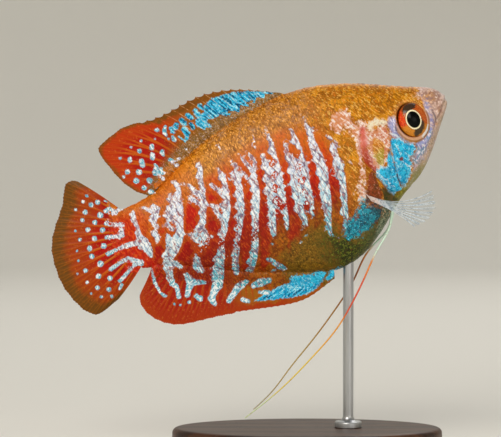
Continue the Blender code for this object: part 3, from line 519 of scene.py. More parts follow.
BREAST_BLUE = [
    [(19.8, -10.3), (19.1, -11.3), (18.5, -11.9), (17.3, -12.3), (17.1, -12.9), (18.1, -14),
     (19, -14.8), (20.1, -15.1), (21.3, -15), (22.4, -15.8), (23.2, -15.4), (24.1, -15.1), (24.6, -14.4),
     (24.4, -13.8), (23.9, -12.8), (23, -13), (22.1, -12.3), (21.3, -12.3), (21, -11.5), (20.4, -10.8)],
]
PINK = [
    [(15.6, 1.8), (14.4, 0.6), (13.2, 0.3), (11.8, 0.3), (10.9, 0.1), (10.8, -1), (11.1, -2.4),
     (12.1, -4.1), (13.2, -5.2), (14.3, -5.9), (15.5, -6.3), (15.9, -6), (16.1, -4.4), (15.7, -2.3),
     (15.6, 0.1)],
    [(19.2, 5.3), (17.5, 5.4), (16.4, 4.8), (16.2, 2.7), (15.6, 1.8), (15.4, 1), (16.4, -0.2),
     (17.1, 0.4), (17.7, 1.6), (18.5, 2.1), (19.6, 1.9), (20.1, 3)],
]
PINK_BAND = [[(15.1, 1.6, 0.57), (16.1, 0, 0.41), (16.7, -2, 0.35), (17.4, -3.9, 0.38), (17.8, -5.7, 0.44),
              (18.5, -7.4, 0.41), (19.2, -9, 0.5), (19.7, -9.8, 0.47)]]
RED_EDGE = [[(15.1, 0.8, 0.41), (15.5, -0.6, 0.44), (15.9, -1.9, 0.47), (16.2, -3.3, 0.57),
             (16.2, -4.6, 0.55), (15.9, -5.6, 0.35), (15.6, -6.2, 0.22)]]
CREAM = [[(14.3, 1.3), (13.9, 1.6), (13.3, 1.7), (12.3, 1.6), (11.4, 1.2), (10.9, 0.8), (11, 0.3),
          (11.8, 0.3), (12.5, 0.4), (13.1, 0.5), (13.9, 0.1), (14.4, 0), (14.4, 0.7)]]
LILAC = [[(11.2, 0), (10.2, 0.8), (9.3, 0.9), (9.3, -0.1), (9.4, -1.4), (9, -2.9), (8.2, -4.2), (7, -4.5),
          (5.4, -4), (4.5, -2.7), (4.1, -1.2), (3.9, 0.5), (4, 1.7), (4.1, 2.9), (2.4, 3.8), (1.1, 3.5),
          (0.2, 2.4), (-0.5, 0.1), (-0.3, -0.7), (1, -2.6), (2.5, -4.5), (4.6, -6.6), (6.3, -8.1),
          (8.4, -9), (9.8, -9.1), (9.3, -8), (9.3, -7.5), (9.7, -6.6), (9.3, -6.3), (8.6, -6.1),
          (7.9, -5.5), (7.9, -4.7), (8.7, -4.3), (9.3, -3.8), (9.8, -2.8), (10.6, -2.7), (11.2, -2.3),
          (11.1, -1.5)]]
SNOUT_SKIN = [[(3.9, 1.3), (4.3, 2.8), (2.3, 3.8), (1.1, 3.5), (0.1, 2.4), (-0.6, 0), (-0.2, -1.1),
               (1, -2.5), (2.5, -3.8), (4, -4.6), (3.6, -2.4), (3, -0.4), (3.2, 0.7)]]
GILL_OCHRE = [[(14.3, -1.2), (13.5, -1.4), (12.8, -2.2), (12.7, -3.6), (13.4, -4.8), (14.2, -5.5),
               (14.8, -5.7), (14.9, -4.9), (14.9, -3.5), (14.8, -2.2)]]
JAW = [[(0.1, -0.1, 0.4), (1.3, -1.9, 0.5), (2.5, -3.5, 0.75), (3.7, -5, 1), (5.3, -6.7, 1.15),
        (7.1, -8.4, 1.1), (8.7, -9.4, 0.95), (10.1, -10.2, 0.8), (11.1, -11, 0.6)]]
OLIVE = [[(29.5, -11.5), (26.5, -11.2), (24.5, -13.6), (22, -15.3), (19.5, -14.4), (17.2, -14.6),
          (22, -22), (30, -22), (37, -19), (35.5, -13.5)],
         [(12.6, -10.7), (11.4, -10.7), (10.3, -10.4), (8.5, -9.8), (10.7, -12.5), (12.5, -13.6),
          (15.5, -14.6), (16.5, -12), (15.1, -10.5), (14.5, -11.8), (13.4, -11.4)]]
REED = [[(17.6, -11.9), (16.6, -12.2), (14.8, -13.9), (15.5, -15.5), (17.9, -17.5), (19.5, -18.2),
         (20, -17.3), (19, -15.6), (18, -14.6), (17.1, -13.3)]]
MAROON = [[(15.9, -6.1), (15.9, -7), (15.9, -8.3), (16, -9.4), (15.9, -10.4), (16.2, -11), (16.8, -11.3),
           (17.9, -10.6), (18.8, -9.6), (18.4, -8.4), (17.8, -7.4), (16.9, -6.5)],
          [(18.9, -9.9), (18.5, -10.4), (18, -11.2), (17.7, -11.8), (18, -12), (18.5, -11.9),
           (18.9, -11.2), (19.1, -10.5)]]
# Outline of painted shade under the rear edge of the gill cover, by the pectoral fin's root.
SHADE = [[(16.4, -9.5), (15.1, -9.7), (14.4, -11.3), (13.6, -12.5), (14.7, -12.8), (15.7, -11.9),
          (16.5, -11)]]
# Painted highlights: pale lines along the ridges of the head, on the raised rim below the eye and on the gill
# cover's raised rear edge, where light catches them.
HIGHLIGHT_LINES = [
    [(15.6, -6.7, 0.11), (15.1, -7.8, 0.14), (14.5, -8.5, 0.13), (14.2, -9.4, 0.13), (13.8, -10, 0.09)],
    [(10.8, -6.7, 0.11), (10.3, -7.6, 0.14), (9.8, -8.1, 0.11)],
    [(11, -3.4, 0.08), (10.7, -4.5, 0.11), (10.6, -5.4, 0.09)],
    [(6.2, -4.1, 0.13), (5.2, -3.4, 0.19), (4.5, -2.5, 0.13)],
    [(11.2, -1.5, 0.13), (10.4, -2, 0.16), (9.7, -2.9, 0.13), (9.4, -3.7, 0.09)],
]
# Painted shade: dark lines in the grooves and folds of the head, along the cheek groove and folds, the front
# edge of the gill cover and the corner of the mouth.
CREASE_SHADE_LINES = [
    [(12.5, -4.2, 0.11), (12.4, -6.6, 0.14), (12.6, -9.2, 0.14), (12.3, -10.4, 0.11)],
    [(11.4, -2.6, 0.08), (12.1, -3.8, 0.09), (12.1, -4.6, 0.08)],
    [(13.8, -6.7, 0.08), (13.8, -7.5, 0.09), (13.7, -8.5, 0.08)],
    [(2.9, -0.5, 0.09), (2.8, -1.9, 0.13), (3, -2.6, 0.08)],
    [(9.8, -0.7, 0.09), (10, -1.8, 0.09), (9.5, -3.2, 0.08)],
]
CHEEK_DOT = [[(10.9, -6.2, 0.42)]]
LOW_RED = [
    [(31.5, -9.4, 0.67), (32.6, -11.8, 0.9), (33.7, -14, 0.76), (34.4, -15.4, 0.45)],
    [(35.9, -7.6, 0.67), (37.1, -10, 0.67), (38.3, -12.4, 0.63), (39.4, -14.6, 0.45)],
    [(38.9, -6.4, 0.67), (40.5, -9.6, 0.58), (41.6, -12, 0.49), (42.3, -13.6, 0.31)],
]


OUTLINES = {
    "breast": BREAST_BLUE, "cream": CREAM, "lilac": LILAC, "snout": SNOUT_SKIN, "gill": GILL_OCHRE,
    "olive": OLIVE, "reed": REED, "maroon": MAROON, "shade": SHADE,
}
STRANDS = {
    "red_edge": RED_EDGE, "jaw": JAW, "dot": CHEEK_DOT, "pale_line": HIGHLIGHT_LINES, "dark_line": CREASE_SHADE_LINES,
    "low_red": LOW_RED,
}


def paint(u, h, left):
    """All markings at the places (u, h), by name.  Where left is 1 the places are first moved a little,
    by slow waves, because a fish's two sides are alike but never the same."""
    u = u + left * (0.45 * np.sin(0.31 * h + 1.0) + 0.3 * np.sin(0.47 * u))
    h = h + left * (0.4 * np.sin(0.35 * u + 2.0))
    p = np.stack([u, h], 1)
    bar, wear = to_strands(p, BARS + FIN_MARKS)
    return {
        "u": u, "h": h, "below": back(u) - h, "bar": bar, "wear": wear,
        "blue": to_outlines(p, CHEEK_BLUE + BLUE_WEDGE),
        "pink": np.maximum(to_outlines(p, PINK), to_strands(p, PINK_BAND)[0]),
        "orbit": in_oval(u, h, ORBIT_AT, ORBIT),
        **{name: to_outlines(p, outlines) for name, outlines in OUTLINES.items()},
        **{name: to_strands(p, strands)[0] for name, strands in STRANDS.items()},
    }


# %% [markdown]
# ## Building meshes from arrays
#
# One helper turns an array of points and one of triangles into an object.  It puts them in with foreach_set,
# adds each named value as an attribute that a material can read, and makes the piece ride on the one body.

# %% Mesh helper


def full_turn(count):
    """Angles of a full turn in even steps."""
    return np.arange(count) * 2 * math.pi / count


def grid_faces(rows, columns, around=False):
    """Triangles of a grid of points, all split along the same diagonal."""
    last = columns if around else columns - 1
    i, j = np.meshgrid(np.arange(rows - 1), np.arange(last), indexing="ij")
    a, b = i * columns + j, i * columns + (j + 1) % columns
    c, d = b + columns, a + columns
    return np.concatenate([np.stack([a, b, c], -1), np.stack([a, c, d], -1)]).reshape(-1, 3)


def fan(centre, ring):
    """Triangles from one point to a closed ring of points."""
    ring = np.asarray(ring)
    return np.stack([np.full(len(ring), centre), ring, np.roll(ring, -1)], -1)


def closed_rings(rings, first_end=None, last_end=None):
    """Points and triangles of a stack of rings.  A point closes each end, by default the ring's middle."""
    rows, around = rings.shape[:2]
    count = rows * around
    first_end = rings[0].mean(0) if first_end is None else first_end
    last_end = rings[-1].mean(0) if last_end is None else last_end
    faces = np.concatenate([
        grid_faces(rows, around, around=True),
        fan(count, np.arange(around)[::-1]),
        fan(count + 1, np.arange(count - around, count)),
    ])
    return np.vstack([rings.reshape(-1, 3), first_end, last_end]), faces


def piece(name, points, faces, material, slot, replaced=(), values=None, world=False, sharp=50):
    """Object from points in the fish's frame, or in the display's if world is set, both in millimetres."""
    points = np.asarray(points, float).reshape(-1, 3)
    faces = np.asarray(faces, int)
    corners = points[faces]
    if np.einsum("ij,ij->i", corners[:, 0], np.cross(corners[:, 1], corners[:, 2])).sum() < 0:
        faces = faces[:, ::-1]
    places = points * MM if world else on_display(points)
    mesh = bpy.data.meshes.new(name)
    mesh.vertices.add(len(places))
    mesh.vertices.foreach_set("co", places.astype(np.float32).ravel())
    mesh.loops.add(faces.size)
    mesh.loops.foreach_set("vertex_index", faces.astype(np.int32).ravel())
    mesh.polygons.add(len(faces))
    mesh.polygons.foreach_set("loop_start", np.arange(0, faces.size, 3, dtype=np.int32))
    mesh.update(calc_edges=True)
    mesh.shade_smooth()
    mesh.set_sharp_from_angle(angle=math.radians(sharp))
    for key, value in (values or {}).items():
        attribute = mesh.attributes.new(key, "FLOAT", "POINT")
        attribute.data.foreach_set("value", np.ravel(value).astype(np.float32))
    mesh.materials.append(material)
    obj = bpy.data.objects.new(name, mesh)
    bpy.context.scene.collection.objects.link(obj)
    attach(obj, "root")
    if replaced:
        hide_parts(*replaced)
    print(f"{name}: {len(faces)} triangles")
    return obj


# %% [markdown]
# ## Materials as expressions
#
# Shader maths reads best as plain arithmetic.  A Wire holds one socket, and its operators add Math nodes, so
# that 1 - mask does what it says.  A Finish is a material being built: it has one method for any other node,
# and short forms for the few nodes that every recipe uses.

# %% Wires and finishes


class Wire:
    """One output socket.  Arithmetic on it adds a Math node and gives that node's output."""

    def __init__(self, finish, socket):
        self.finish = finish
        self.socket = socket

    def math(self, operation, *values):
        return self.finish.node("ShaderNodeMath", {"operation": operation}, values)

    def __add__(self, other):
        return self.math("ADD", self, other)

    def __sub__(self, other):
        return self.math("SUBTRACT", self, other)

    def __rsub__(self, other):
        return self.math("SUBTRACT", other, self)

    def __mul__(self, other):
        return self.math("MULTIPLY", self, other)

    def at_most(self, other):
        return self.math("MINIMUM", self, other)

    def at_least(self, other):
        return self.math("MAXIMUM", self, other)

    def size(self):
        return self.math("ABSOLUTE", self)

    __radd__ = __add__
    __rmul__ = __mul__


class Finish:
    """A material: constants go straight to the shader's sockets, what varies comes in through paint."""

    def __init__(self, name, **constants):
        self.material = bpy.data.materials.new(name)
        self.material.use_nodes = True
        self.tree = self.material.node_tree
        self.shader = self.tree.nodes["Principled BSDF"]
        self.set(**constants)
        self.place = self.node("ShaderNodeTexCoord", output="Object")

    def set(self, **values):
        for name, value in values.items():
            self.feed(self.shader.inputs[name.replace("_", " ")], value)

    def feed(self, socket, value):
        if isinstance(value, Wire):
            self.tree.links.new(value.socket, socket)
        else:
            socket.default_value = value

    def node(self, kind, settings=None, values=(), output=0):
        made = self.tree.nodes.new(kind)
        for name, value in (settings or {}).items():
            setattr(made, name, value)
        places = values.items() if isinstance(values, dict) else enumerate(values)
        for place, value in places:
            self.feed(made.inputs[place], value)
        return Wire(self, made.outputs[output])

    def read(self, name):
        return self.node("ShaderNodeAttribute", {"attribute_name": name}, output="Fac")

    def noise(self, grain, detail=2.0, roughness=0.5, stretch=(1, 1, 1), turn=0.0):
        """Noise whose lumps are about grain millimetres across, from 0 to 1."""
        where = self.place
        if stretch != (1, 1, 1) or turn:
            values = {"Vector": where, "Rotation": (0, turn, 0), "Scale": [1 / part for part in stretch]}
            where = self.node("ShaderNodeMapping", {"vector_type": "TEXTURE"}, values)
        values = {"Vector": where, "Scale": 1000.0 / grain, "Detail": detail, "Roughness": roughness}
        return self.node("ShaderNodeTexNoise", {}, values)

    def noises(self, *grains):
        """A coarse, a fine and a very fine noise round 0, the coarser ones with more detail."""
        self.breaks = [self.noise(grain, detail) - 0.5 for grain, detail in zip(grains, (3.0, 2.0, 1.0))]
        return self.breaks

    def step(self, value, low, high):
        """0 at low and 1 at high, smooth between; low may be the larger."""
        settings = {"interpolation_type": "SMOOTHSTEP"}
        return self.node("ShaderNodeMapRange", settings, [value, low, high, 0.0, 1.0])

    def patch(self, name, low, high, *shares):
        """Mask of a marking: 0 at low and 1 at high of its distance plus shares of the three noises."""
        value = self.read(name)
        for noise, share in zip(self.breaks, shares):
            if share:
                value = value + noise * share
        return self.step(value, low, high)

    def mix(self, first, second, share):
        """Blend of two colours, each a wire or a web code: share 0 gives the first and 1 the second."""
        first, second = (shade(colour) if isinstance(colour, str) else colour for colour in (first, second))
        return self.node("ShaderNodeMix", {"data_type": "RGBA"}, {0: share, 6: first, 7: second}, output=2)

    def coats(self, colour, *layers):
        """Layers of paint over a colour, each given as (colour, share), the last one on top."""
        for layer, share in layers:
            colour = self.mix(colour, layer, share)
        return colour

    def bump(self, height, distance):
        return self.node("ShaderNodeBump", {}, {"Height": height, "Distance": distance * MM})


def shade(code):
    """Colour of the shader from a six-digit web code: each part c becomes ((c + 0.055) / 1.055) ^ 2.4."""
    parts = np.array([int(code[k : k + 2], 16) for k in (0, 2, 4)]) / 255
    linear = np.where(parts <= 0.04045, parts / 12.92, ((parts + 0.055) / 1.055) ** 2.4)
    return (*linear, 1.0)


# %% [markdown]
# ## Skin finish
#
# Moist fish skin is a clear, slightly glossy layer over pigment.  The pigment goes from ochre at the back
# through orange to deep red, low and towards the tail.  Over it lie the patches and then the bars, in which
# small platelets reflect: white with a lilac cast where the light falls, blue and then cyan further down.
# The skin and the scales use this one recipe, so the pattern runs on from one to the other.

# %% Skin recipe
NAPE_LINES = math.radians(-50.0)  # lean of the fine lines on nape and gill cover
STRIAE = math.radians(-30.0)  # lean of the fine lines on the scales: their upper ends lie towards the tail


def skin_finish(name, scaled):
    """Ground colours first, then the patches of the head, then the bars."""
    f = Finish(name, Specular_IOR_Level=0.15, Coat_Weight=0.05, Coat_Roughness=0.12)
    u, h, below = f.read("u"), f.read("h"), f.read("below")
    coarse, fine, grain = f.noises(1.7, 0.45, 0.21)
    rays = f.noise(0.27, detail=2.0, stretch=(1, 1, 0.27), turn=STRIAE) - 0.5
    strokes = f.noise(0.27, detail=2.0, stretch=(1, 1, 0.2), turn=NAPE_LINES) - 0.5
    cells = (f.noise(0.6, detail=1.5, stretch=(1, 1, 0.5), turn=STRIAE) - 0.5).size()
    parting = (f.noise(0.8, detail=1.0, stretch=(1, 1, 0.2), turn=STRIAE) - 0.5).size()
    tone = f.read("tone")
    rim = f.read("rim")
    edge = f.step(rim, 0.8, 0.98)
    # Painted highlight: a band across the raised rear half of each scale, short of its edge, where light
    # catches it.
    painted_highlight = f.step(rim, 0.3, 0.62) * f.step(rim, 0.9, 0.75)

    # The depth below the back decides how red the ground is; it reddens sooner towards the tail.
    red = (below - 9.6 + (u - 25.0) * 0.28) * 0.2 + coarse * 0.3 + tone * 0.12
    colour = f.coats(
        f.mix("D46208", "CE3404", f.step(red, -0.35, 0.3)),
        ("C21803", f.step(red, 0.15, 0.7)),
        ("A61404", f.step(red, 0.9, 1.7)),
        ("8C1C06", f.step(red, 1.8, 2.7)),
    )
    near_bar = f.patch("bar", -0.6, -0.15, 0, 0.4)
    colour = f.mix(colour, "C8700F", near_bar * f.step(below, 18.0, 8.0) * 0.5)
    low = f.step(below + coarse * 4, 17.0, 22.0) * f.step(u, 50.0, 38.0)
    earth = f.mix("7C3E08", "A4600E", f.step(coarse + fine, -0.15, 0.15))
    earth = f.mix(earth, "D09A34", f.step(grain + fine * 0.5, 0.14, 0.26) * 0.5)
    colour = f.mix(colour, earth, low * 0.9)
    ember = f.patch("low_red", -0.5, 0.2, 0.6, 0.5)
    colour = f.mix(colour, "A01805", ember * f.step(below, 16.0, 19.0) * 0.85)

    ochre = f.mix("B06A0C", "DE9214", f.step(coarse + fine * 0.8 + tone * 0.2, -0.2, 0.2))
    dusk = f.step(u, 18.5, 25.0) * f.step(u, 44.0, 37.0)
    ochre = f.mix(ochre, "B06A1C", dusk * 0.45)
    ochre = f.mix(ochre, "B27E5A", f.step(fine + coarse, -0.08, 0.2) * dusk * 0.65)
    lines = strokes + (rays - strokes) * f.step(u, 18.0, 26.0) + grain * 0.4
    ochre = f.coats(
        ochre,
        ("FFCE6A", f.step(lines, 0.05, 0.16) * 0.65),
        ("744408", f.step(lines, -0.05, -0.17) * 0.5),
        ("E8C4A0", f.step(fine + coarse * 0.7, 0.22, 0.36) * f.step(u, 8.0, 13.0) * 0.5),
    )
    top = below + coarse * 2.2 - f.step(u, 30.0, 18.0) * 2.5
    colour = f.mix(ochre, colour, f.step(top, 3.6, 7.0).at_least(f.step(u + coarse * 2, 40.0, 49.0) * 0.7))
    front = f.step(u + coarse * 1.6, 22.6, 19.8)
    colour = f.mix(colour, ochre, front * f.step(h + coarse, -13.0, -11.0))
    stem = f.step(u + coarse * 2, 54.8, 57.2) * f.step(below, 0.8, 2.4)
    ember_red = f.mix("C81A04", "E0500A", f.step(fine + coarse, 0.05, 0.25))
    colour = f.mix(colour, ember_red, stem * 0.85)

    olive = f.read("olive") + coarse * 3.2 + fine
    moss = f.mix("86661A", "4E4612", f.step(fine + grain, -0.02, 0.12))
    moss = f.mix(moss, "C8A438", f.step(grain + fine * 0.4, -0.13, -0.24) * 0.75)
    colour = f.mix(colour, moss, f.step(olive, -0.8, 0.9) * 0.85)
    dark = f.step(olive, 0.0, 2.2) * f.step(below + coarse * 5, 20.5, 25.5)
    dark = dark * f.step(u + coarse * 5, 31.0, 25.5)
    deep = f.mix("1C2E10", "5C6C1C", f.step(fine + grain, -0.04, 0.14))
    deep = f.mix(deep, "A8A43C", f.step(grain + fine * 0.4, 0.15, 0.26) * 0.7)
    colour = f.mix(colour, deep, dark * 0.92)
    throat = f.mix("6A7214", "ACA43C", f.step(fine + coarse, -0.15, 0.2))
    throat = f.mix(throat, "28443A", f.step(u + coarse * 2, 14.0, 17.0) * 0.7)
    colour = f.mix(colour, throat, f.step(olive, -0.9, 0.3) * f.step(u, 24.0, 19.5) * 0.85)
    reed = f.mix("4E6650", "A0AC90", f.step(rays + grain - strokes, -0.1, 0.22))
    colour = f.mix(colour, reed, f.patch("reed", -0.5, 0.5, 1.2, 0.6) * 0.9)

    # Striae: fine lines across each scale, paler and darker than the ground.
    pale_line = f.step(rays + grain * 0.3, 0.02, 0.2) * (1 - f.step(olive, -0.8, 0.9) * 0.75)
    colour = f.mix(colour, f.mix(colour, "FF7A20", 0.5), pale_line * 0.6)
    colour = f.mix(colour, f.mix(colour, "200400", 0.5), f.step(rays + grain * 0.3, -0.04, -0.22) * 0.7)
    foot = f.step(below, 0.15, -0.25) * f.step(u, 52.0, 44.0)
    bark = f.coats(
        f.mix("6E4A12", "A07434", f.step(fine + coarse, -0.12, 0.12)),
        ("B8ACB0", f.step(grain + fine * 0.5, 0.08, 0.2) * 0.75),
        ("3E2A0A", f.step(grain + fine * 0.5, -0.1, -0.22) * 0.6),
    )
    colour = f.mix(colour, bark, foot * f.step(u, 24.0, 26.0) * 0.85)
    if scaled:
        colour = f.mix(colour, f.mix(colour, "1A0500", 0.6), edge * 0.2)

    flesh = f.coats(
        f.mix("DC8E62", "ECBEB0", f.step(fine + coarse, -0.16, 0.1)),
        ("FFF6F6", f.step(strokes + coarse * 0.7 + fine * 0.5, 0.0, 0.12) * 0.9),
        ("D06A70", f.step(fine + grain, -0.1, -0.22) * f.step(u, 15.5, 13.0) * 0.8),
    )
    pink = f.patch("pink", -0.3, 0.3, 1.8, 1.6, 0.6)
    colour = f.mix(colour, flesh, pink * 0.85)
    gill = f.coats(
        f.mix("DE8A12", "B09A26", f.step(h + coarse * 2, -2.8, -4.4)),
        ("F8DC90", f.step(strokes + grain * 0.5, 0.04, 0.15) * 0.75),
        ("96560C", f.step(strokes + grain * 0.5, -0.04, -0.15) * 0.7),
    )
    colour = f.mix(colour, gill, f.patch("gill", -0.3, 0.2, 1.4, 1.2) * 0.92)
    lilac = f.patch("lilac", -0.4, 0.4, 1.7, 1.2)
    cool = f.coats(
        f.mix("9CA4D8", "CBB2C0", f.step(coarse + (f.read("orbit") - 1.5) * 0.9 + fine, -0.2, 0.3)),
        ("5C9AB8", f.step(fine - coarse, -0.08, 0.12) * f.step(h, -2.6, -4.2) * 0.8),
        ("FAF4FF", f.step(rays + fine * 0.5, 0.04, 0.14) * 0.8),
        ("6A64A0", f.step(rays + fine * 0.6, -0.09, -0.2) * 0.5),
    )
    colour = f.mix(colour, cool, lilac * 0.95)
    snout = f.coats(
        f.mix("A67E6A", "CDA896", f.step(coarse + fine, -0.12, 0.12)),
        ("D4943C", f.step(fine * 0.6 - coarse, -0.04, 0.12) * f.step(u, 0.9, 3.0) * 0.9),
        ("F6E6E0", f.step(fine + grain * 0.6, 0.08, 0.2) * 0.7),
        ("80584E", f.step(fine + grain * 0.5, -0.09, -0.22) * 0.5),
    )
    colour = f.mix(colour, snout, f.patch("snout", -0.9, 0.8, 2.4, 2.2, 1) * 0.92)
    lip = f.step(u + coarse * 0.8 + h * 0.25, 1.15, 0.55) * f.step(h, -2.5, -0.5)
    colour = f.mix(colour, f.mix("E8D4C8", "C8B0C0", f.step(fine, 0.0, 0.2)), lip * 0.6)
    cream = f.patch("cream", -0.25, 0.3, 0.8, 1.2)
    colour = f.mix(colour, f.mix("FBF4DC", "E8C8A0", f.step(fine + grain, 0.02, 0.2)), cream * 0.9)
    gill_red = f.mix("E07466", "B23A30", f.step(h + coarse * 2, -1.0, -4.0))
    gill_red = f.mix(gill_red, "F4B4A4", f.step(strokes + fine * 0.5, 0.06, 0.22) * 0.6)
    red_edge = f.patch("red_edge", -0.35, 0.3, 1.2, 1.0)
    colour = f.mix(colour, gill_red, red_edge * 0.9)
    jaw = f.coats(
        f.mix("CDAE96", "A08A70", f.step(coarse + fine + grain, -0.05, 0.25)),
        ("B8A8C4", f.step(fine - coarse, 0.08, 0.24) * 0.6),
        ("8C8C4C", f.step(h + coarse * 2, -7.5, -9.5) * 0.8),
        ("E8D8D0", f.step(rays + fine * 0.4, 0.08, 0.22) * 0.6),
    )
    colour = f.mix(colour, jaw, f.patch("jaw", -0.35, 0.5, 1.3, 0.9) * 0.95)

    # Rings round the eye: a whitish inner one, then a brown one, which is plain only below the eye.
    orbit = f.read("orbit") + fine * 0.03
    under = f.step(h + u * 0.15, 1.6, -0.6)
    socket = f.mix(colour, "A87030", f.step(orbit, 1.28, 1.19) * f.step(orbit, 1.02, 1.1) * under * 0.85)
    socket = f.mix(socket, "D8A888", f.step(orbit, 1.14, 1.09) * (0.1 + under * 0.7))
    colour = f.mix(socket, "A8581E", f.step(orbit, 0.97, 0.92))

    blue = f.patch("blue", -0.2, 0.12, 0.5, 0.8, 0.3)
    gleam = f.coats(
        f.mix("06A0DA", "34CCF6", f.step(fine + coarse * 0.5, -0.14, 0.1)),
        ("A4DAF6", f.step(fine * 0.8 + grain * 0.5 - coarse, 0.1, 0.22) * 0.55),
        ("B8F6FF", f.step(rays + grain * 0.5, 0.08, 0.2) * 0.7),
        ("0A5F8C", f.step(cells + grain * 0.06, 0.035, 0.01) * 0.6),
    )
    border = f.patch("blue", 0.34, 0.1, 0, 0.5) * f.step(coarse + grain, -0.1, 0.12)
    gleam = f.mix(gleam, "DCEEFA", border * f.step(u, 18.0, 16.5) * 0.7)
    colour = f.mix(colour, gleam, blue)
    breast = f.patch("breast", -0.45, 0.35, 2.6, 1.5)
    wet = f.coats(
        f.mix("0E7C9A", "16AEC8", f.step(fine + coarse * 0.5 + grain * 0.5, -0.12, 0.14)),
        ("8CE8F4", f.step(grain + rays * 0.6, 0.12, 0.26) * 0.75),
        ("083A4A", f.step(cells + grain * 0.08, 0.05, 0.015) * 0.85),
    )
    fade = f.step(u * 0.7 + h * 0.3 + coarse * 3, 8.4, 10.6)
    colour = f.mix(colour, f.mix("14383C", wet, fade * 0.75 + 0.25), breast * 0.95)
    # Painted shade: a dark olive-brown patch under the rear edge of the gill cover, by the pectoral fin's root.
    painted_shade = f.mix("2A3414", "5A3A20", f.step(coarse + fine, -0.1, 0.2))
    colour = f.mix(colour, painted_shade, f.patch("shade", -0.3, 0.3, 0.8, 0.5) * 0.85)
    maroon = f.mix("8C3418", "4E1E10", f.step(coarse + fine, -0.1, 0.2))
    maroon = f.mix(maroon, "C88070", f.step(strokes + grain, 0.1, 0.26) * 0.6)
    colour = f.coats(
        colour,
        (maroon, f.patch("maroon", -0.2, 0.2, 0.4, 0.6) * 0.9),
        ("8A2C1C", f.patch("dot", -0.05, 0.15, 0, 0, 0.4) * 0.9),
        # painted highlights along the head's ridges and the gill cover's rim
        ("E4F6FC", f.patch("pale_line", -0.1, 0.08, 0, 0.4, 0.5) * 0.6),
        # painted shade in the head's grooves and folds
        ("2E3050", f.patch("dark_line", -0.12, 0.08, 0, 0.3, 0.5) * 0.65),
    )

    bar = f.read("bar") + fine * 0.34 + grain * 0.2
    solid = f.step(grain * 0.7 + fine * 0.7 + f.read("wear") * (tone * 0.2 - 0.52), -0.34, -0.24)
    cool = h + coarse * 3 - below * 0.1
    shine = f.coats(
        f.mix("D6DEF4", "ACD6EA", f.step(cool, -1.5, -7.0)),
        ("52BCD0", f.step(cool, -8.5, -14.0)),
        ("FFFFFF", f.step(rays + grain * 0.25, 0.0, 0.12) * 0.9),
    )
    dark_stroke = f.mix("566490", "8A6484", f.step(coarse, -0.05, 0.1))
    shine = f.mix(shine, dark_stroke, f.step(rays + grain * 0.5, -0.07, -0.18) * 0.7)
    shine = f.mix(shine, "B88090", f.step(fine + coarse * 0.6, 0.18, 0.3) * f.step(h, -6, 2) * 0.6)
    gap_line = f.mix("6A4668", "A83A28", f.step(fine + coarse * 0.5, -0.05, 0.15))
    shine = f.mix(shine, gap_line, f.step(parting + grain * 0.05, 0.068, 0.026) * f.step(h, -24, -14) * 0.8)
    if scaled:
        # painted highlight, white, on each scale of the bars, fading out low on the flank
        shine = f.mix(shine, "FFFFFF", painted_highlight * f.step(h, -15.0, -5.0) * 0.4)
        shine = f.mix(shine, f.mix("56587C", "7A4A50", f.step(coarse, -0.05, 0.1)), edge * 0.4)
    bars = f.step(bar, -0.08, 0.1) * solid
    colour = f.mix(colour, shine, bars)

    bump = f.bump(fine * 0.4 + grain * 0.6 + rays * 0.5, 0.035)
    f.set(Base_Color=colour, Roughness=0.42 - bars * 0.12 - blue * 0.1 + fine * 0.1, Normal=bump)
    return f.material


skin_material = skin_finish("moist_skin", scaled=False)
scale_material = skin_finish("scales", scaled=True)
print("skin recipe:", len(skin_material.node_tree.nodes), "nodes")

# %% [markdown]
# ## The skin
#
# Rings along the body and columns around it.  The rings crowd on the head, where the relief is fine, and the
# last ones curve with the root of the tail fin.  Both ends close in one point.

# %% Skin mesh
RINGS_HEAD, RINGS_BODY, COLUMNS = 158, 112, 352
SKIN_START, HEAD_END, BODY_END = 0.02, 18.0, 60.0

ring_u = np.concatenate([
    SKIN_START + (HEAD_END - SKIN_START) * np.linspace(0, 1, RINGS_HEAD) ** 1.35,
    np.linspace(HEAD_END, BODY_END, RINGS_BODY + 1)[1:],
])
root_curve = cubic(TAIL_ROOT_LINE)


def bent_to_tail(u, turn):
    """The last rings lean forward at back and belly, as the tail fin's root does."""
    lean = smoothstep(u, 50, BODY_END) * (59.4 - root_curve(height(np.minimum(u, 58.0), turn)))
    return u - lean


ring_grid, turn_grid = np.meshgrid(ring_u, full_turn(COLUMNS), indexing="ij")
u_grid = bent_to_tail(ring_grid, turn_grid)
skin = skin_point(u_grid, turn_grid)
h_grid = height(u_grid, turn_grid)
left_grid = (np.sin(turn_grid) < 0).astype(float) * smoothstep(np.abs(np.sin(turn_grid)), 0, 0.3)



def with_ends(values):
    """Values of all rings, and for the point at each end the mean of its ring."""
    return np.concatenate([values.ravel(), [values[0].mean(), values[-1].mean()]])


skin_paint = paint(with_ends(u_grid), with_ends(h_grid), with_ends(left_grid))
piece(
    "fish_skin", *closed_rings(skin, skin[0].mean(0) + (SKIN_START, 0, 0)), skin_material, "skin",
    ("head", "jaw_lower", "gill_cover_right", "gill_cover_left", "trunk", "tail_stem"), skin_paint,
)

# %% [markdown]
# ## Scales
#
# Scales are real plates over the skin.  Each is a shallow disc whose front lies under the skin and whose rear
# edge stands a little proud, so that every scale overlaps the next and catches the light on its own edge.
# They sit on a lattice: rows run along the body at even steps of its girth, columns lean back as the bars do,
# and every other row is shifted by half a scale.

# %% Scale template
SCALE_SIDES = 12
SCALE_SUNK = -0.05  # front edge, below the skin
SCALE_RISE = 0.19  # from the front edge to the rear edge
SCALE_CROWN = 0.035
SCALE_UNDER = -0.14

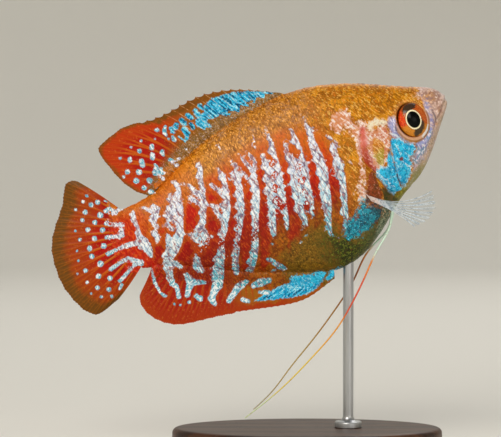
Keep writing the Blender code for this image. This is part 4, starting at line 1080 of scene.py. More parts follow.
ring_angle = full_turn(SCALE_SIDES)
ring_round = np.stack([np.cos(ring_angle), np.sin(ring_angle)], 1) / 2
ring_round[:, 1] *= 1 - 0.52 * smoothstep(ring_round[:, 0], 0, 0.7)  # a blunt point to the rear
scale_flat = np.vstack([[0, 0], ring_round * 0.68, ring_round, [0, 0]])
scale_out = np.concatenate([[0.0], np.full(SCALE_SIDES, 0.68), np.ones(SCALE_SIDES), [0.0]])
scale_up = SCALE_SUNK + SCALE_RISE * (scale_flat[:, 0] + 0.5) + SCALE_CROWN * (1 - scale_out**2)
scale_up[-1] = SCALE_UNDER
inner, outer = 1 + np.arange(SCALE_SIDES), 1 + SCALE_SIDES + np.arange(SCALE_SIDES)
wrapped = np.stack([inner, outer], 0)[:, ::-1].reshape(-1)
scale_faces = np.concatenate([
    fan(0, inner), wrapped[grid_faces(2, SCALE_SIDES, around=True)], fan(len(scale_flat) - 1, outer[::-1]),
])
print("scale:", len(scale_faces), "triangles")


def blend_table(table, row, column):
    """Value between the four nearest entries of a table, at rows and columns that need not be whole."""
    row = np.clip(row, 0, table.shape[0] - 1.001)
    column = np.clip(column, 0, table.shape[1] - 1.001)
    i, j = row.astype(int), column.astype(int)
    a, b = row - i, column - j
    if table.ndim == 3:
        a, b = a[..., None], b[..., None]
    near = table[i, j] * (1 - b) + table[i, j + 1] * b
    far = table[i + 1, j] * (1 - b) + table[i + 1, j + 1] * b
    return near * (1 - a) + far * a


# %% Girth of the body
TABLE_U = (0.3, 60.0, 240)
TABLE_TURNS, TABLE_SHARES = 361, 241

table_u = np.linspace(*TABLE_U)
table_turn = np.linspace(0, math.pi, TABLE_TURNS)
around = body_point(*np.meshgrid(table_u, table_turn, indexing="ij"))[..., 1:]
arc = np.cumsum(np.linalg.norm(np.diff(around, axis=1), axis=2), axis=1)
arc = np.concatenate([np.zeros((len(table_u), 1)), arc], 1)
girth = arc[:, -1]
shares = np.linspace(0, 1, TABLE_SHARES)
turn_table = np.array([np.interp(shares, row / row[-1], table_turn) for row in arc])


def girth_at(u):
    """Way along the skin from belly to back, on one side."""
    return np.interp(u, table_u, girth)


def turn_at(u, share):
    """Turn of a place on the right side, at a share of the way from belly to back along the skin."""
    over, under = share > 1, share < 0
    share = np.where(over, 2 - share, np.abs(share))
    row = (u - table_u[0]) / (table_u[1] - table_u[0])
    turn = blend_table(turn_table, row, share * (TABLE_SHARES - 1))
    return np.where(over, 2 * math.pi - turn, np.where(under, -turn, turn))


print("half girth at u = 25:", round(float(girth_at(25)), 1), "mm")

# %% [markdown]
# ## Where the scales stand
#
# The flank has large scales.  The nape, the cheek and the gill cover have small ones, and bare skin is left
# round the eye, along the jaw and in the grooves, where a fish has none.  Markings are read partly at the
# scale's own middle, so that a bar's edge follows whole scales, as it does in life.

# %% Coats of the body
GILL_LINE = ((-15.0, 14.2), (-11.0, 15.4), (-7.0, 16.6), (-3.0, 17.1), (1.5, 16.6), (11.0, 14.4))
SCALE_ROWS = (-18, 19)
FLANK_START, FLANK_PITCH, PITCH_LOSS = 16.5, 1.75, 0.0103
FLANK_OVERLAP, FLANK_ROWS_WIDE = 1.55, 2.12  # a scale's length in pitches and its width in rows
HEAD_START, HEAD_PITCH, HEAD_LENGTH, HEAD_ROWS_WIDE = 4.6, 0.78, 1.3, 2.1
OFBAKE_MM = 1 / 64  # unwrap units for a millimetre of skin
OFBAKE_PATCH = 0.003
gill_line = cubic(GILL_LINE)
rng = np.random.default_rng(7)


def flank_spacing(u):
    """Millimetres from row to row on the flank."""
    return 1.12 - 0.28 * smoothstep(u, 24, 48)


def head_spacing(u):
    """Millimetres from row to row on the head."""
    return 0.74 + 0.1 * smoothstep(u, 8, 16)


def body_surface(spacing):
    """Surface that takes u and a row number counted from the middle of the flank."""

    def at(u, row):
        share = 0.5 + row * spacing(u) / girth_at(u)
        turn = turn_at(u, share)
        h = height(u, turn)
        normal = body_normal(u, turn)
        base = body_point(u, turn) + normal * skin_level(u, h)[..., None]
        return base, normal, u, h, np.stack([u, (share - 0.5) * girth_at(u)], -1)

    return at


def lay_scales(surface, p, q, length, width, rise=1.0):
    """One scale at each (p, q), of a length along p and a width along q in the surface's own units.

    Each differs a little in size, rise and tone.  u_mid and h_mid are the place that speaks for all of it."""
    size = rng.uniform(0.95, 1.05, (len(p), 1))
    base, normal, u, h, flat = surface(
        p[:, None] + scale_flat[:, 0] * np.reshape(length, (-1, 1)) * size,
        q[:, None] + scale_flat[:, 1] * np.reshape(width, (-1, 1)) * size,
    )
    lift = scale_up * rng.uniform(0.85, 1.15, (len(p), 1)) * rise
    tone = rng.uniform(-1, 1, (len(p), 1))
    u_mid, h_mid = (value[:, :1] * 0.3 + value[:, 1:2] * 0.7 for value in (u, h))
    return {
        "points": base + normal * lift[..., None], "u": u, "h": h,
        "u_mid": np.broadcast_to(u_mid, u.shape), "h_mid": np.broadcast_to(h_mid, u.shape),
        "tone": np.broadcast_to(tone, u.shape),
        "rim": np.broadcast_to(scale_out * (scale_flat[:, 0] > -0.1), u.shape),
        "uv": flat[:, :1] + scale_flat * OFBAKE_PATCH / OFBAKE_MM,
    }


def lattice(columns, rows):
    """Numbers of columns and rows, with every other row shifted by half a column."""
    column, row = np.meshgrid(np.arange(*columns), np.arange(*rows), indexing="ij")
    return (column + 0.5 * (row % 2)).ravel(), row.ravel().astype(float)


def in_rows(u, row, spacing):
    """Room between a row's place and the nearer edge of the flank, along the skin, and the place's h."""
    arc_place = row * spacing(u)
    return girth_at(u) / 2 - np.abs(arc_place), height(u, turn_at(u, 0.5 + arc_place / girth_at(u)))


def flank_scales():
    """Large scales from behind the gill cover to the tail fin.  Column k stands at
    FLANK_START + FLANK_PITCH k - PITCH_LOSS k^2, so that the scales get smaller towards the tail."""
    column, row = lattice((-4, 31), SCALE_ROWS)
    main = FLANK_START + FLANK_PITCH * column - PITCH_LOSS * column**2
    lean = 0.14 + 0.28 * smoothstep(main, 20, 44)
    u = main - lean * row * flank_spacing(main) + rng.uniform(-0.04, 0.04, len(main))
    room, h = in_rows(u, row, flank_spacing)
    keep = (room > 0.25) & (u > gill_line(h) + 0.75) & (u < root_curve(h) - 0.1)
    pitch = FLANK_PITCH - 2 * PITCH_LOSS * column[keep]
    surface = body_surface(flank_spacing)
    return lay_scales(surface, u[keep], row[keep], FLANK_OVERLAP * pitch, FLANK_ROWS_WIDE)


def head_scales():
    """Small scales of nape, cheek and gill cover."""
    column, row = lattice((0, 18), SCALE_ROWS)
    u = HEAD_START + HEAD_PITCH * column
    room, h = in_rows(u, row, head_spacing)
    p = np.stack([u, h], 1)
    cover = to_outline(p, cover_edge)
    round_eye = in_oval(u, h, ORBIT_AT, ORBIT)
    nape = (h > 2.3 + 0.1 * (10 - u)) & (cover < -0.7) & (u < gill_line(h) + 0.6)
    cheek = (cover < -0.5) & (u > 8.8) & (u < 12) & (h < 1.5) & (h > -8.5)
    soft = line_gap(p, CHEEK_GROOVE) > 0.35
    keep = (room > 0.2) & (round_eye > 1.45) & soft & (nape | cheek | (cover > 0.42))
    keep &= line_gap(p, JAW_CREASE) > 0.8
    return lay_scales(body_surface(head_spacing), u[keep], row[keep], HEAD_LENGTH, HEAD_ROWS_WIDE)


body_scales = [flank_scales(), head_scales()]
print("scales on one side:", [len(s["u"]) for s in body_scales])

# %% [markdown]
# ## Fins
#
# A fin is a very thin sheet carried by rays.  Spines are single; soft rays split in two and again in four
# on their way out, which gives the edge its fine fringe.  The sheet is a grid: columns run across the rays,
# a dozen to a gap, and rows run outwards.  Half its thickness is the membrane's plus a ridge that depends
# on the distance to the nearest branch.  The sheet starts inside the body and swells there, as flesh does
# at a root.

# %% Fin sheet
WEB, RIDGE = 0.07, 0.13
RIDGE_WIDTH = 0.13
FIN_SUNK = 0.8
GAP_COLUMNS = 12


def ray_layout(groups):
    """Share along the base and the edge for every ray, its tip, and 1 where it is a soft ray."""
    base = np.concatenate([np.linspace(*g["base"], g["rays"]) for g in groups])
    edge = np.concatenate([np.linspace(*g["edge"], g["rays"]) for g in groups])
    tip = np.concatenate([np.full(g["rays"], g["tip"]) for g in groups])
    soft = np.concatenate([np.full(g["rays"], g["soft"]) for g in groups])
    return base, edge, tip, soft


def fin_sheet(root_at, edge_at, groups, rows, bow, sway, swell=0.3, swell_reach=0.7):
    """Grid of columns from root_at(share) to edge_at(share).

    At s of its way out a column is bowed aside by bow times 4s(1 - s) of its length, and sways by
    sway(ray, s).  Half the thickness is WEB plus two kinds of bells: RIDGE high over the branches of the
    rays, which part by a quarter and then an eighth of a gap, and swell high over the root."""
    base, edge, tip, soft = ray_layout(groups)
    rays = len(base)
    place = np.arange((rays - 1) * GAP_COLUMNS + 1) / GAP_COLUMNS
    number = np.arange(rays)
    base, edge, tip, soft = (np.interp(place, number, row) for row in (base, edge, tip, soft))
    bow = np.interp(place, number, np.broadcast_to(bow, rays))
    between = place % 1
    root, end = root_at(base), edge_at(edge)
    along = end - root
    length = np.linalg.norm(along, axis=1)
    unit = along / length[:, None]
    fringe = np.abs(np.sin(4 * math.pi * between)) * 0.3 + np.sin(math.pi * between) * 0.4
    notch = np.where(soft > 0.5, 1 - fringe, 0.5 - np.sin(math.pi * between) ** 0.7)
    end = end + unit * (notch * tip)[:, None]
    share = np.concatenate([[-1.0, -0.5, 0.0], np.linspace(0, 1, rows)[1:] ** 0.92])[:, None]
    share = np.where(share < 0, share * FIN_SUNK / length, share)
    side = np.stack([-along[:, 1], along[:, 0]], -1)
    bend = 4 * share * (1 - share) * bow
    flat = root + (end - root) * share[..., None] + side * bend[..., None]
    across = sway(place / (rays - 1), np.maximum(share, 0))
    middle = np.stack([-flat[..., 0], across, flat[..., 1]], -1)

    step = np.linalg.norm(np.gradient(flat, axis=1), axis=2) * GAP_COLUMNS
    first = 0.25 * smoothstep(share, 0.3, 0.85) * soft
    second = 0.125 * smoothstep(share, 0.62, 1.0) * soft
    near = np.minimum(between, 1 - between)
    gap = np.minimum(np.abs(near - first + second), np.abs(near - first - second)) * step
    out = share * length
    ridge = RIDGE * mound(gap, RIDGE_WIDTH) * (1 - 0.6 * np.maximum(share, 0))
    half = WEB + ridge + swell * mound(np.maximum(out, 0), swell_reach) * (1 - 0.5 * (out < -0.3))
    return {
        "middle": middle, "half": half, "u": flat[..., 0], "h": flat[..., 1], "ray": gap,
        "out": out, "edge": (1 - share) * length, "soft": soft + 0 * share, "share": share,
        "gap": np.minimum(between, 1 - between) * step,
    }


def closed_sheet(fin):
    """Points and triangles of both sides of a fin, joined round its rim."""
    rows, columns = fin["half"].shape
    offset = np.zeros_like(fin["middle"])
    offset[..., 1] = fin["half"]
    points = np.concatenate([
        (fin["middle"] - offset).reshape(-1, 3), (fin["middle"] + offset).reshape(-1, 3),
    ])
    number = np.arange(rows * columns).reshape(rows, columns)
    rim = np.concatenate([number[0], number[1:, -1], number[-1, -2::-1], number[-2:0:-1, 0]])
    ahead = np.roll(rim, -1)
    other = rows * columns
    wall = np.concatenate([
        np.stack([rim, ahead, ahead + other], -1), np.stack([rim, ahead + other, rim + other], -1),
    ])
    side = grid_faces(rows, columns)
    return points, np.concatenate([side, side[:, ::-1] + other, wall[:, ::-1]])


def both_sides(fin, *names):
    """Named values of the grid, once for each side of the sheet."""
    return {name: np.tile(np.ravel(fin[name]), 2) for name in names}


# %% [markdown]
# ## Fin colours
#
# All three median fins are red between orange rays, with a brown margin.  The dorsal fin is blue between its
# spines in front, and its rear lobe, the tail and the anal fin carry pale blue dots and bars.

# %% Fin marks
DORSAL_BASE, ANAL_BASE, TAIL_SPAN = (25.0, 50.9), (28.4, 57.0), (3.8, -6.6)
DORSAL_EDGE = (
    (26.2, 12.1), (29.5, 13.9), (34.0, 15.7), (40.0, 16.4), (45.0, 15.8), (49.0, 15.9), (52.4, 16.2),
    (55.6, 15.4), (57.5, 14.5), (57.3, 11.9), (56.3, 8.8), (54.7, 5.9), (53.3, 4.5), (52.3, 3.8),
)
ANAL_EDGE = (
    (28.8, -20.9), (31.2, -21.6), (34.5, -22.3), (38.5, -21.9), (43.0, -20.8), (48.0, -19.6),
    (53.0, -18.8), (56.5, -18.0), (59.2, -16.1), (60.7, -13.5), (60.6, -11.4), (59.2, -9.9),
    (58.0, -8.7),
)
TAIL_EDGE = (
    (63.0, 10.5), (63.9, 11.1), (64.9, 11.0), (66.4, 8.9), (68.7, 5.9), (70.5, 3.6), (71.6, 1.2),
    (72.0, -1.3), (72.0, -4.6), (71.1, -8.0), (70.0, -10.2), (68.5, -11.4), (66.4, -11.1), (64.2, -10.4),
)
DORSAL_BLUE = [
    [(24.5, 10.6), (27, 12.6), (30.6, 14.1), (33.1, 14.9), (34.9, 15.1), (36.6, 15.3), (38.2, 14.6),
     (38.8, 13.6), (40.5, 13), (40.9, 12.3), (40.5, 11.4), (38.9, 10.3), (38.6, 11), (38.9, 12.3),
     (37.3, 12), (36.2, 12.1), (34.7, 10.6), (34.1, 10.7), (34.3, 11.5), (32.9, 10.8), (32.2, 11.2),
     (31.5, 10.8), (29, 11.1), (27, 10.7)],
]
DORSAL_BLOBS = [
    [(39, 14.8, 0.42), (38.8, 14.2, 0.21)], [(40.1, 14.4, 0.38), (39.9, 13.7, 0.45)],
    [(41.6, 14.2, 0.31), (41.2, 13.5, 0.42)], [(42.9, 13.8, 0.35), (42.6, 13.1, 0.45)],
    [(43.8, 13.5, 0.35), (44.3, 13, 0.42)], [(45, 13.1, 0.35), (44.9, 12.4, 0.35)],
    [(41.6, 12.6, 0.35), (41.5, 11.9, 0.35)], [(43, 12.2, 0.45), (42.8, 11.4, 0.49), (43.1, 10.6, 0.31)],
    [(44.3, 11.3, 0.14), (43.6, 10.3, 0.14)],
]


# %% Fin recipe


def fin_finish(name, front, web, outer, ray, margin, width, foot, reach=2.2, pale=0.0, lean=0.0, depth=0.0):
    """Colours in order: between the rays in front, further back and further out, on the rays, the margin, and
    the scaly foot.  The streaks lean by some degrees, and the blue darkens between the rays by depth."""
    f = Finish(name, Roughness=0.45, Specular_IOR_Level=0.1, Coat_Weight=0.06, Coat_Roughness=0.25)
    coarse, fine, grain = f.noises(1.6, 0.4, 0.18)
    u = f.read("u")
    out, rim = f.read("out") + coarse * 0.8, f.read("edge") + coarse * 1.6 + fine * 0.6
    inner = f.step(rim, width * 1.3, width * 2.6)
    on_ray = f.step(f.read("ray") + fine * 0.08 - inner * 0.08, 0.16, 0.05)
    ground = f.coats(
        f.mix(web, "8A0A04", f.step(coarse + fine, -0.1, 0.15) * f.step(out, 9.0, 4.0) * 0.7),
        (outer, f.step(rim, width * 2.4, width * 1.2) * 0.8),
        (front, f.step(u + coarse * 3 + out * 0.5, 50.5, 44.0)),
    )
    colour = f.mix(ground, ray, on_ray * (0.2 + inner * 0.5))
    colour = f.mix(colour, f.mix(colour, "FFB040", 0.4), f.step(fine + grain * 0.6, 0.1, 0.22) * 0.4)
    narrow = rim + f.step(u, 46.0, 51.0) * f.step(u, 60.0, 57.0) * width * 0.45
    border = f.mix(margin, ray, on_ray * 0.18 + f.step(fine, 0, 0.2) * 0.15)
    border = f.mix(border, f.mix(margin, front, 0.6), f.step(u, 40.0, 34.0))
    colour = f.mix(colour, border, f.step(narrow, width, width * 0.4))
    scaly = f.mix(foot, "B4A8AC", f.step(grain + fine * 0.5, 0.08, 0.2) * pale)
    scaly = f.mix(scaly, "4A2A0A", f.step(grain + fine * 0.5, -0.08, -0.22) * 0.5)
    colour = f.mix(colour, scaly, f.step(out + fine * 1.5, reach, reach * 0.4) * 0.85)

    streak = f.noise(0.3, detail=2.0, stretch=(1, 1, 0.12), turn=math.radians(lean)) - 0.5
    teal = f.mix("064A6E", "0E7EA6", f.step(coarse + fine, -0.1, 0.2))
    gleam = f.mix("0C94CA", "2EC0EA", f.step(fine + streak, -0.12, 0.12))
    gleam = f.mix(gleam, "BCF4FF", f.step(streak + grain * 0.5, 0.07, 0.18) * 0.85)
    blue = f.coats(
        f.mix(teal, gleam, f.step(streak + fine * 0.25 - f.read("gap") * depth, -0.17, -0.08)),
        ("B8A0A0", f.step(grain + fine * 0.5, 0.14, 0.26) * f.step(f.read("blue"), 0.9, 0.2)),
        ("C8ECFC", f.step(fine + grain * 0.6, 0.1, 0.22) * 0.5),
    )
    colour = f.mix(colour, blue, f.patch("blue", -0.15, 0.12, 0.4, 0.6))
    spine = f.patch("ray", 0.1, 0.03, 0, 0.05) * f.step(u, 47.0, 42.0)
    colour = f.mix(colour, "E4C08A", spine * pale * f.step(fine + coarse, -0.12, 0.1) * 0.7)

    mark = f.patch("mark", -0.1, 0.08, 0, 0.3, 0.2)
    rays = f.noise(0.27, detail=2.0, stretch=(1, 1, 0.4), turn=math.radians(lean)) - 0.5
    dots = f.coats(
        f.mix("9CC8DC", "64BCD4", f.step(coarse + fine, -0.15, 0.15)),
        ("FFFFFF", f.step(rays + grain * 0.3 + f.read("mark") * 0.3, 0.04, 0.16) * 0.85),
        ("50688E", f.step(rays + grain * 0.5, -0.08, -0.2) * 0.65),
    )
    colour = f.mix(colour, dots, mark)
    joints = f.noise(0.3, detail=0.0) - 0.5
    f.set(Base_Color=colour, Normal=f.bump(fine * 0.5 + joints * 0.5, 0.02))
    return f.material


def fin_values(fin, patches, blobs):
    """What the fins' recipe reads: distances to rays, root and margin, and inside dots and blue patches."""
    p = np.stack([np.ravel(fin["u"]), np.ravel(fin["h"])], 1)
    fin["mark"] = to_strands(p, BARS + FIN_MARKS)[0]
    fin["blue"] = np.maximum(to_strands(p, blobs)[0], to_outlines(p, patches) if patches else -FAR)
    return both_sides(fin, "u", "h", "ray", "out", "edge", "gap", "mark", "blue")


# %% Dorsal, anal and tail fins
FIN_GAP = 0.3  # the solids' seam between fin and body


def dorsal_root(share):
    u = DORSAL_BASE[0] + share * (DORSAL_BASE[1] - DORSAL_BASE[0])
    return np.stack([u, back(u)], -1)


def anal_root(share):
    u = ANAL_BASE[0] + share * (ANAL_BASE[1] - ANAL_BASE[0])
    return np.stack([u, belly(u)], -1)


def tail_root(share):
    h = TAIL_SPAN[0] + share * (TAIL_SPAN[1] - TAIL_SPAN[0])
    return np.stack([root_curve(h) + FIN_GAP, h], -1)


dorsal = fin_sheet(
    dorsal_root, path(DORSAL_EDGE),
    ({"rays": 16, "base": (0, 0.7), "edge": (0, 0.51), "tip": 0.4, "soft": 0},
     {"rays": 9, "base": (0.735, 1), "edge": (0.56, 1), "tip": 0.25, "soft": 1}),
    46, 0.05, lambda ray, row: 0.55 * np.sin(5.5 * ray) * ray * row**1.6, 0.7, 1.3,
)
anal = fin_sheet(
    anal_root, path(ANAL_EDGE),
    ({"rays": 17, "base": (0, 0.54), "edge": (0, 0.43), "tip": 0.1, "soft": 0},
     {"rays": 14, "base": (0.57, 1), "edge": (0.465, 1), "tip": 0.25, "soft": 1}),
    46, -0.04, lambda ray, row: 0.5 * np.sin(6 * ray + 1) * ray * row**1.6, 0.9, 1.6,
)
tail = fin_sheet(
    tail_root, path(TAIL_EDGE), ({"rays": 15, "base": (0, 1), "edge": (0, 1), "tip": 0.3, "soft": 1},),
    76, -0.02 * np.linspace(-1, 1, 15) ** 3,
    lambda ray, row: 1.3 * row**2 + 0.45 * np.sin(7 * ray) * row**1.5,
)
dorsal_paint = fin_finish(
    "dorsal", "96560F", "B01804", "BE3A04", "D06410", "7A480C", 1.9, "7C5A18", 3.2, 0.8, -50, 0.16,
)
anal_paint = fin_finish("anal", "A05E0E", "A61E05", "A62C05", "B44408", "A83604", 1.3, "A0520C", lean=53)
tail_paint = fin_finish("tail", "B41204", "B41204", "A04008", "D4700E", "6A4210", 3.4, "C03808")
for name, fin, finish, patches, blobs in (
    ("dorsal", dorsal, dorsal_paint, DORSAL_BLUE, DORSAL_BLOBS),
    ("anal", anal, anal_paint, BLUE_WEDGE, ()),
    ("tail", tail, tail_paint, (), ()),
):
    values = fin_values(fin, patches, blobs)
    piece(name + "_sheet", *closed_sheet(fin), finish, "fin", (name + "_fin",), values)

# %% [markdown]
# ## Scaly feet of the fins
#
# In these fish small scales climb from the body onto the bases of the fins, which hides where the one ends
# and the other starts.  They are laid on the fin's own grid, in rows along the rays.

# %% Scales on the fins


def fin_surface(fin, away):
    """Surface that takes a row and a column of the fin's grid, on its right side.  away gives the place of
    (u, h) across the unwrap, beyond the scales of the body."""

    def at(row, column):
        middle = blend_table(fin["middle"], row, column)
        half = blend_table(fin["half"], row, column)
        base = middle - np.array((0.0, 1.0, 0.0)) * (half - 0.02)[..., None]
        normal = np.broadcast_to((0.0, -1.0, 0.0), base.shape)
        u, h = -middle[..., 0], middle[..., 2]
        return base, normal, u, h, np.stack([u + 1.5 * (u > 58.5), away(u, h)], -1)

    return at


def fin_scales(fin, reach, pitch, away):
    """Small scales from the foot of a fin outwards, reach millimetres far on average."""
    rows, columns = fin["half"].shape
    across = np.linalg.norm(np.gradient(fin["middle"], axis=1), axis=2)
    outward = np.linalg.norm(np.gradient(fin["middle"], axis=0), axis=2)
    start = int(np.argmin(np.abs(fin["out"][:, columns // 2])))
    run = np.concatenate([[0], np.cumsum(across[start])])[:-1]
    line, place = np.meshgrid(np.arange(int(reach / pitch * 1.9) + 1), np.arange(int(run[-1] / pitch)),
                              indexing="ij")
    line, place = line.ravel(), place.ravel()
    column = np.interp((place + 0.5 * (line % 2) + 0.5) * pitch, run, np.arange(columns))
    nearest = np.clip(np.round(column).astype(int), 0, columns - 1)
    row_mm = outward[start + 2, nearest]
    column_mm = across[start + 2, nearest]
    row = start + line * pitch * 0.55 / row_mm
    ragged = reach * (0.75 + 0.25 * np.sin(column * 0.37) + rng.uniform(-0.15, 0.15, len(column)))
    keep = line * pitch * 0.55 < ragged
    return lay_scales(fin_surface(fin, away), row[keep], column[keep], (1.5 * pitch / row_mm)[keep],
                      (1.15 * pitch / column_mm)[keep], 0.55)


def above_back(u, h):
    return girth_at(u) / 2 + 1.5 + h - back(u)


def below_belly(u, h):
    return -girth_at(u) / 2 - 1.5 + h - belly(u)


fin_coats = [fin_scales(dorsal, 1.7, 0.62, above_back), fin_scales(anal, 3.2, 0.66, below_belly),
             fin_scales(tail, 2.6, 0.7, lambda u, h: h)]
print("scales on one side of the fins:", [len(s["u"]) for s in fin_coats])

# %% Coat pieces
TOOTH = 0.6  # how far a scale in a bar may carry its colour past the bar's rear edge
OWN, WHOLE = 0.55, 0.45  # how far a marking follows the place itself and how far the whole scale
ALL_OWN = ("u", "h", "below", "dot", "pale_line")


def coat(name, layers, left):
    """One joined mesh of scales, mirrored for the left side, with its unwrap."""
    fields = {key: np.concatenate([np.reshape(s[key], (-1, *s[key].shape[2:])) for s in layers])
              for key in layers[0]}
    points = fields["points"] * (1, -1 if left else 1, 1)
    count = len(points) // len(scale_flat)
    faces = (scale_faces + np.arange(count)[:, None, None] * len(scale_flat)).reshape(-1, 3)
    moved = np.full(len(points), 1.0 if left else 0.0)
    own = paint(fields["u"], fields["h"], moved)
    whole = paint(fields["u_mid"], fields["h_mid"], moved)
    values = {key: at if key in ALL_OWN else OWN * at + WHOLE * whole[key] for key, at in own.items()}
    ahead = np.stack([fields["u"] - TOOTH, fields["h"]], 1)
    tooth = np.minimum(whole["bar"], to_strands(ahead, BARS + FIN_MARKS)[0])
    values["bar"] = np.maximum(own["bar"] - 0.04, tooth + 0.02)
    values["wear"] = whole["wear"]
    values["rim"], values["tone"] = fields["rim"], fields["tone"]
    obj = piece(name, points, faces, scale_material, "skin", (), values, sharp=60)
    corner = np.zeros(len(obj.data.loops), np.int32)
    obj.data.loops.foreach_get("vertex_index", corner)
    unwrap = np.stack([0.02 + fields["uv"][:, 0] * OFBAKE_MM * 0.85, 0.5 + fields["uv"][:, 1] * OFBAKE_MM], 1)
    layer = obj.data.uv_layers.new(name="OFBake")
    layer.data.foreach_set("uv", unwrap[corner].astype(np.float32).ravel())
    return obj


for name, left in (("scales_right", False), ("scales_left", True)):
    coat(name, body_scales + fin_coats, left)

# %% [markdown]
# ## Eyes
#
# A fish's eye is a glossy globe, set a little forward in its socket.  The black pupil is the lens itself,
# which stands out of the iris, with a thin gold ring round it.  The iris is gold below and fiery red
# behind.  It is one closed ellipsoid whose front has the pupil's dome and its groove, with a clear coat for
# the wet gloss.

# %% Eye shape
PUPIL = (6.5, -0.8)
PUPIL_RADII = (1.1, 1.43)
EYE_ROWS, EYE_AROUND = 96, 128
IRIS_PATCHES = [
    [(7.6, 1.3), (7.1, 1.9), (6.3, 2.3), (5.5, 2.1), (5.2, 1.6), (5.6, 1.1), (6.4, 0.9), (7.0, 0.7),
     (7.6, 0.8)],
    [(5.7, -1.5), (5.3, -1.2), (5.1, -1.7), (5.3, -2.6), (6.2, -3.3), (7.0, -3.6), (7.2, -3.1), (6.7, -2.5),
     (6.1, -2.1)],
]


def eye_shape(side):
    """Ellipsoid: polar runs from the outer pole to the inner one, round_eye runs round the line of sight.

    The pupil's dome and the grooves round it are added outwards, on the front only."""
    polar = np.linspace(0, math.pi, EYE_ROWS + 1)[1:-1, None]
    round_eye = full_turn(EYE_AROUND)
    ahead = np.array((math.cos(EYE_FORWARD), -side * math.sin(EYE_FORWARD), 0.0))
    out = np.array((math.sin(EYE_FORWARD), side * math.cos(EYE_FORWARD), 0.0))
    up = np.array((0.0, 0.0, 1.0))
    centre = np.array((-EYE_U, side * EYE_Y, EYE_H))
    a = EYE_RADII[0] * np.sin(polar) * np.cos(round_eye)
    b = EYE_RADII[2] * np.sin(polar) * np.sin(round_eye)
    c = EYE_RADII[1] * np.cos(polar) + 0 * round_eye
    rings = centre + a[..., None] * ahead + b[..., None] * up + c[..., None] * out
    flat, faces = closed_rings(rings, centre + out * EYE_RADII[1], centre - out * EYE_RADII[1])
    u, h = -flat[:, 0], flat[:, 2]
    pupil = in_oval(u, h, PUPIL, PUPIL_RADII)
    front = ((flat - centre) @ out > 0).astype(float)
    dome = 0.14 * smoothstep(1.05 - pupil, 0, 0.8) - 0.05 * mound(pupil - 1.12, 0.07)
    dome += 0.03 * mound(pupil - 1.3, 0.12)
    globe = in_oval(u, h, (EYE_U, EYE_H), EYE_RADII[::2])
    values = {
        "du": u - PUPIL[0], "dh": h - PUPIL[1], "pupil": pupil + 9 * (1 - front),
        "globe": globe + (1 - front), "patch": to_outlines(np.stack([u, h], 1), IRIS_PATCHES),
    }
    return flat + (front * dome)[:, None] * out, faces, values


# %% Eye finish
f = Finish("eye", Roughness=0.2, Specular_IOR_Level=0.08, Coat_Roughness=0.03, Coat_IOR=1.45)
du, dh, pupil = f.read("du"), f.read("dh"), f.read("pupil")
fine = f.noise(0.3) - 0.5
grain = f.noise(0.14, detail=1.0) - 0.5
iris = f.coats(
    f.mix("C4560E", "D8891E", f.step(fine * 1.2 + du * 0.4 - dh, 0.4, 1.3)),
    ("E83E10", f.step(du + fine * 0.8, 1.2, 1.6) * f.step(dh + fine * 0.6, -0.9, -0.2)),
    ("F2A83C", f.step(grain + fine, 0.1, 0.26) * 0.6),
    ("7A2C0C", f.step(grain + fine, -0.1, -0.26) * 0.6),
    ("20241A", f.step(f.read("patch") + fine * 0.7, -0.3, 0.02) * 0.93),
    ("7A3A14", f.step(f.read("globe") + fine * 0.05, 0.9, 0.97) * 0.6),
    ("5A2408", f.step(pupil, 1.27, 1.21) * 0.6),
    ("FFF2C8", f.step(pupil + fine * 0.12, 1.21, 1.15)),
    ("030303", f.step(pupil, 1.03, 0.98)),
)
f.set(Base_Color=iris, Coat_Weight=0.7 - f.step(pupil, 1.1, 1.0) * 0.6, Normal=f.bump(fine, 0.012))

for name, side in (("eye_right", -1), ("eye_left", 1)):
    points, faces, values = eye_shape(side)
    piece(name + "_globe", points, faces, f.material, "eye", (name,), values, sharp=80)

# %% [markdown]
# ## Pectoral fins
#
# The pectoral fins are clear as glass between whitish rays, and wave all the time; here the right one is
# spread forwards and the left one is swept back.  Each ray is a quadratic curve: out of a fleshy root on
# the flank, towards one bend, and on to the outer edge.

# %% Pectoral fins
PECTORAL_ROOT = ((18.7, -9.3), (18.2, -10.9))
RIGHT_BEND = ((14.6, 7.2, -14.0), (14.6, 7.0, -14.4))
RIGHT_EDGE = ((8.5, 9.6, -12.7), (8.7, 9.9, -15.0), (10.6, 9.2, -16.9), (13.4, 8.2, -17.3))
LEFT_BEND = ((21.5, 6.6, -11.0), (20.8, 6.6, -13.0))
LEFT_EDGE = ((29.2, 7.2, -9.8), (30.2, 7.4, -12.6), (28.6, 7.4, -15.3), (25.2, 7.2, -16.2))
PECTORAL_RAYS, PECTORAL_COLUMNS, PECTORAL_ROWS = 9, 20, 60


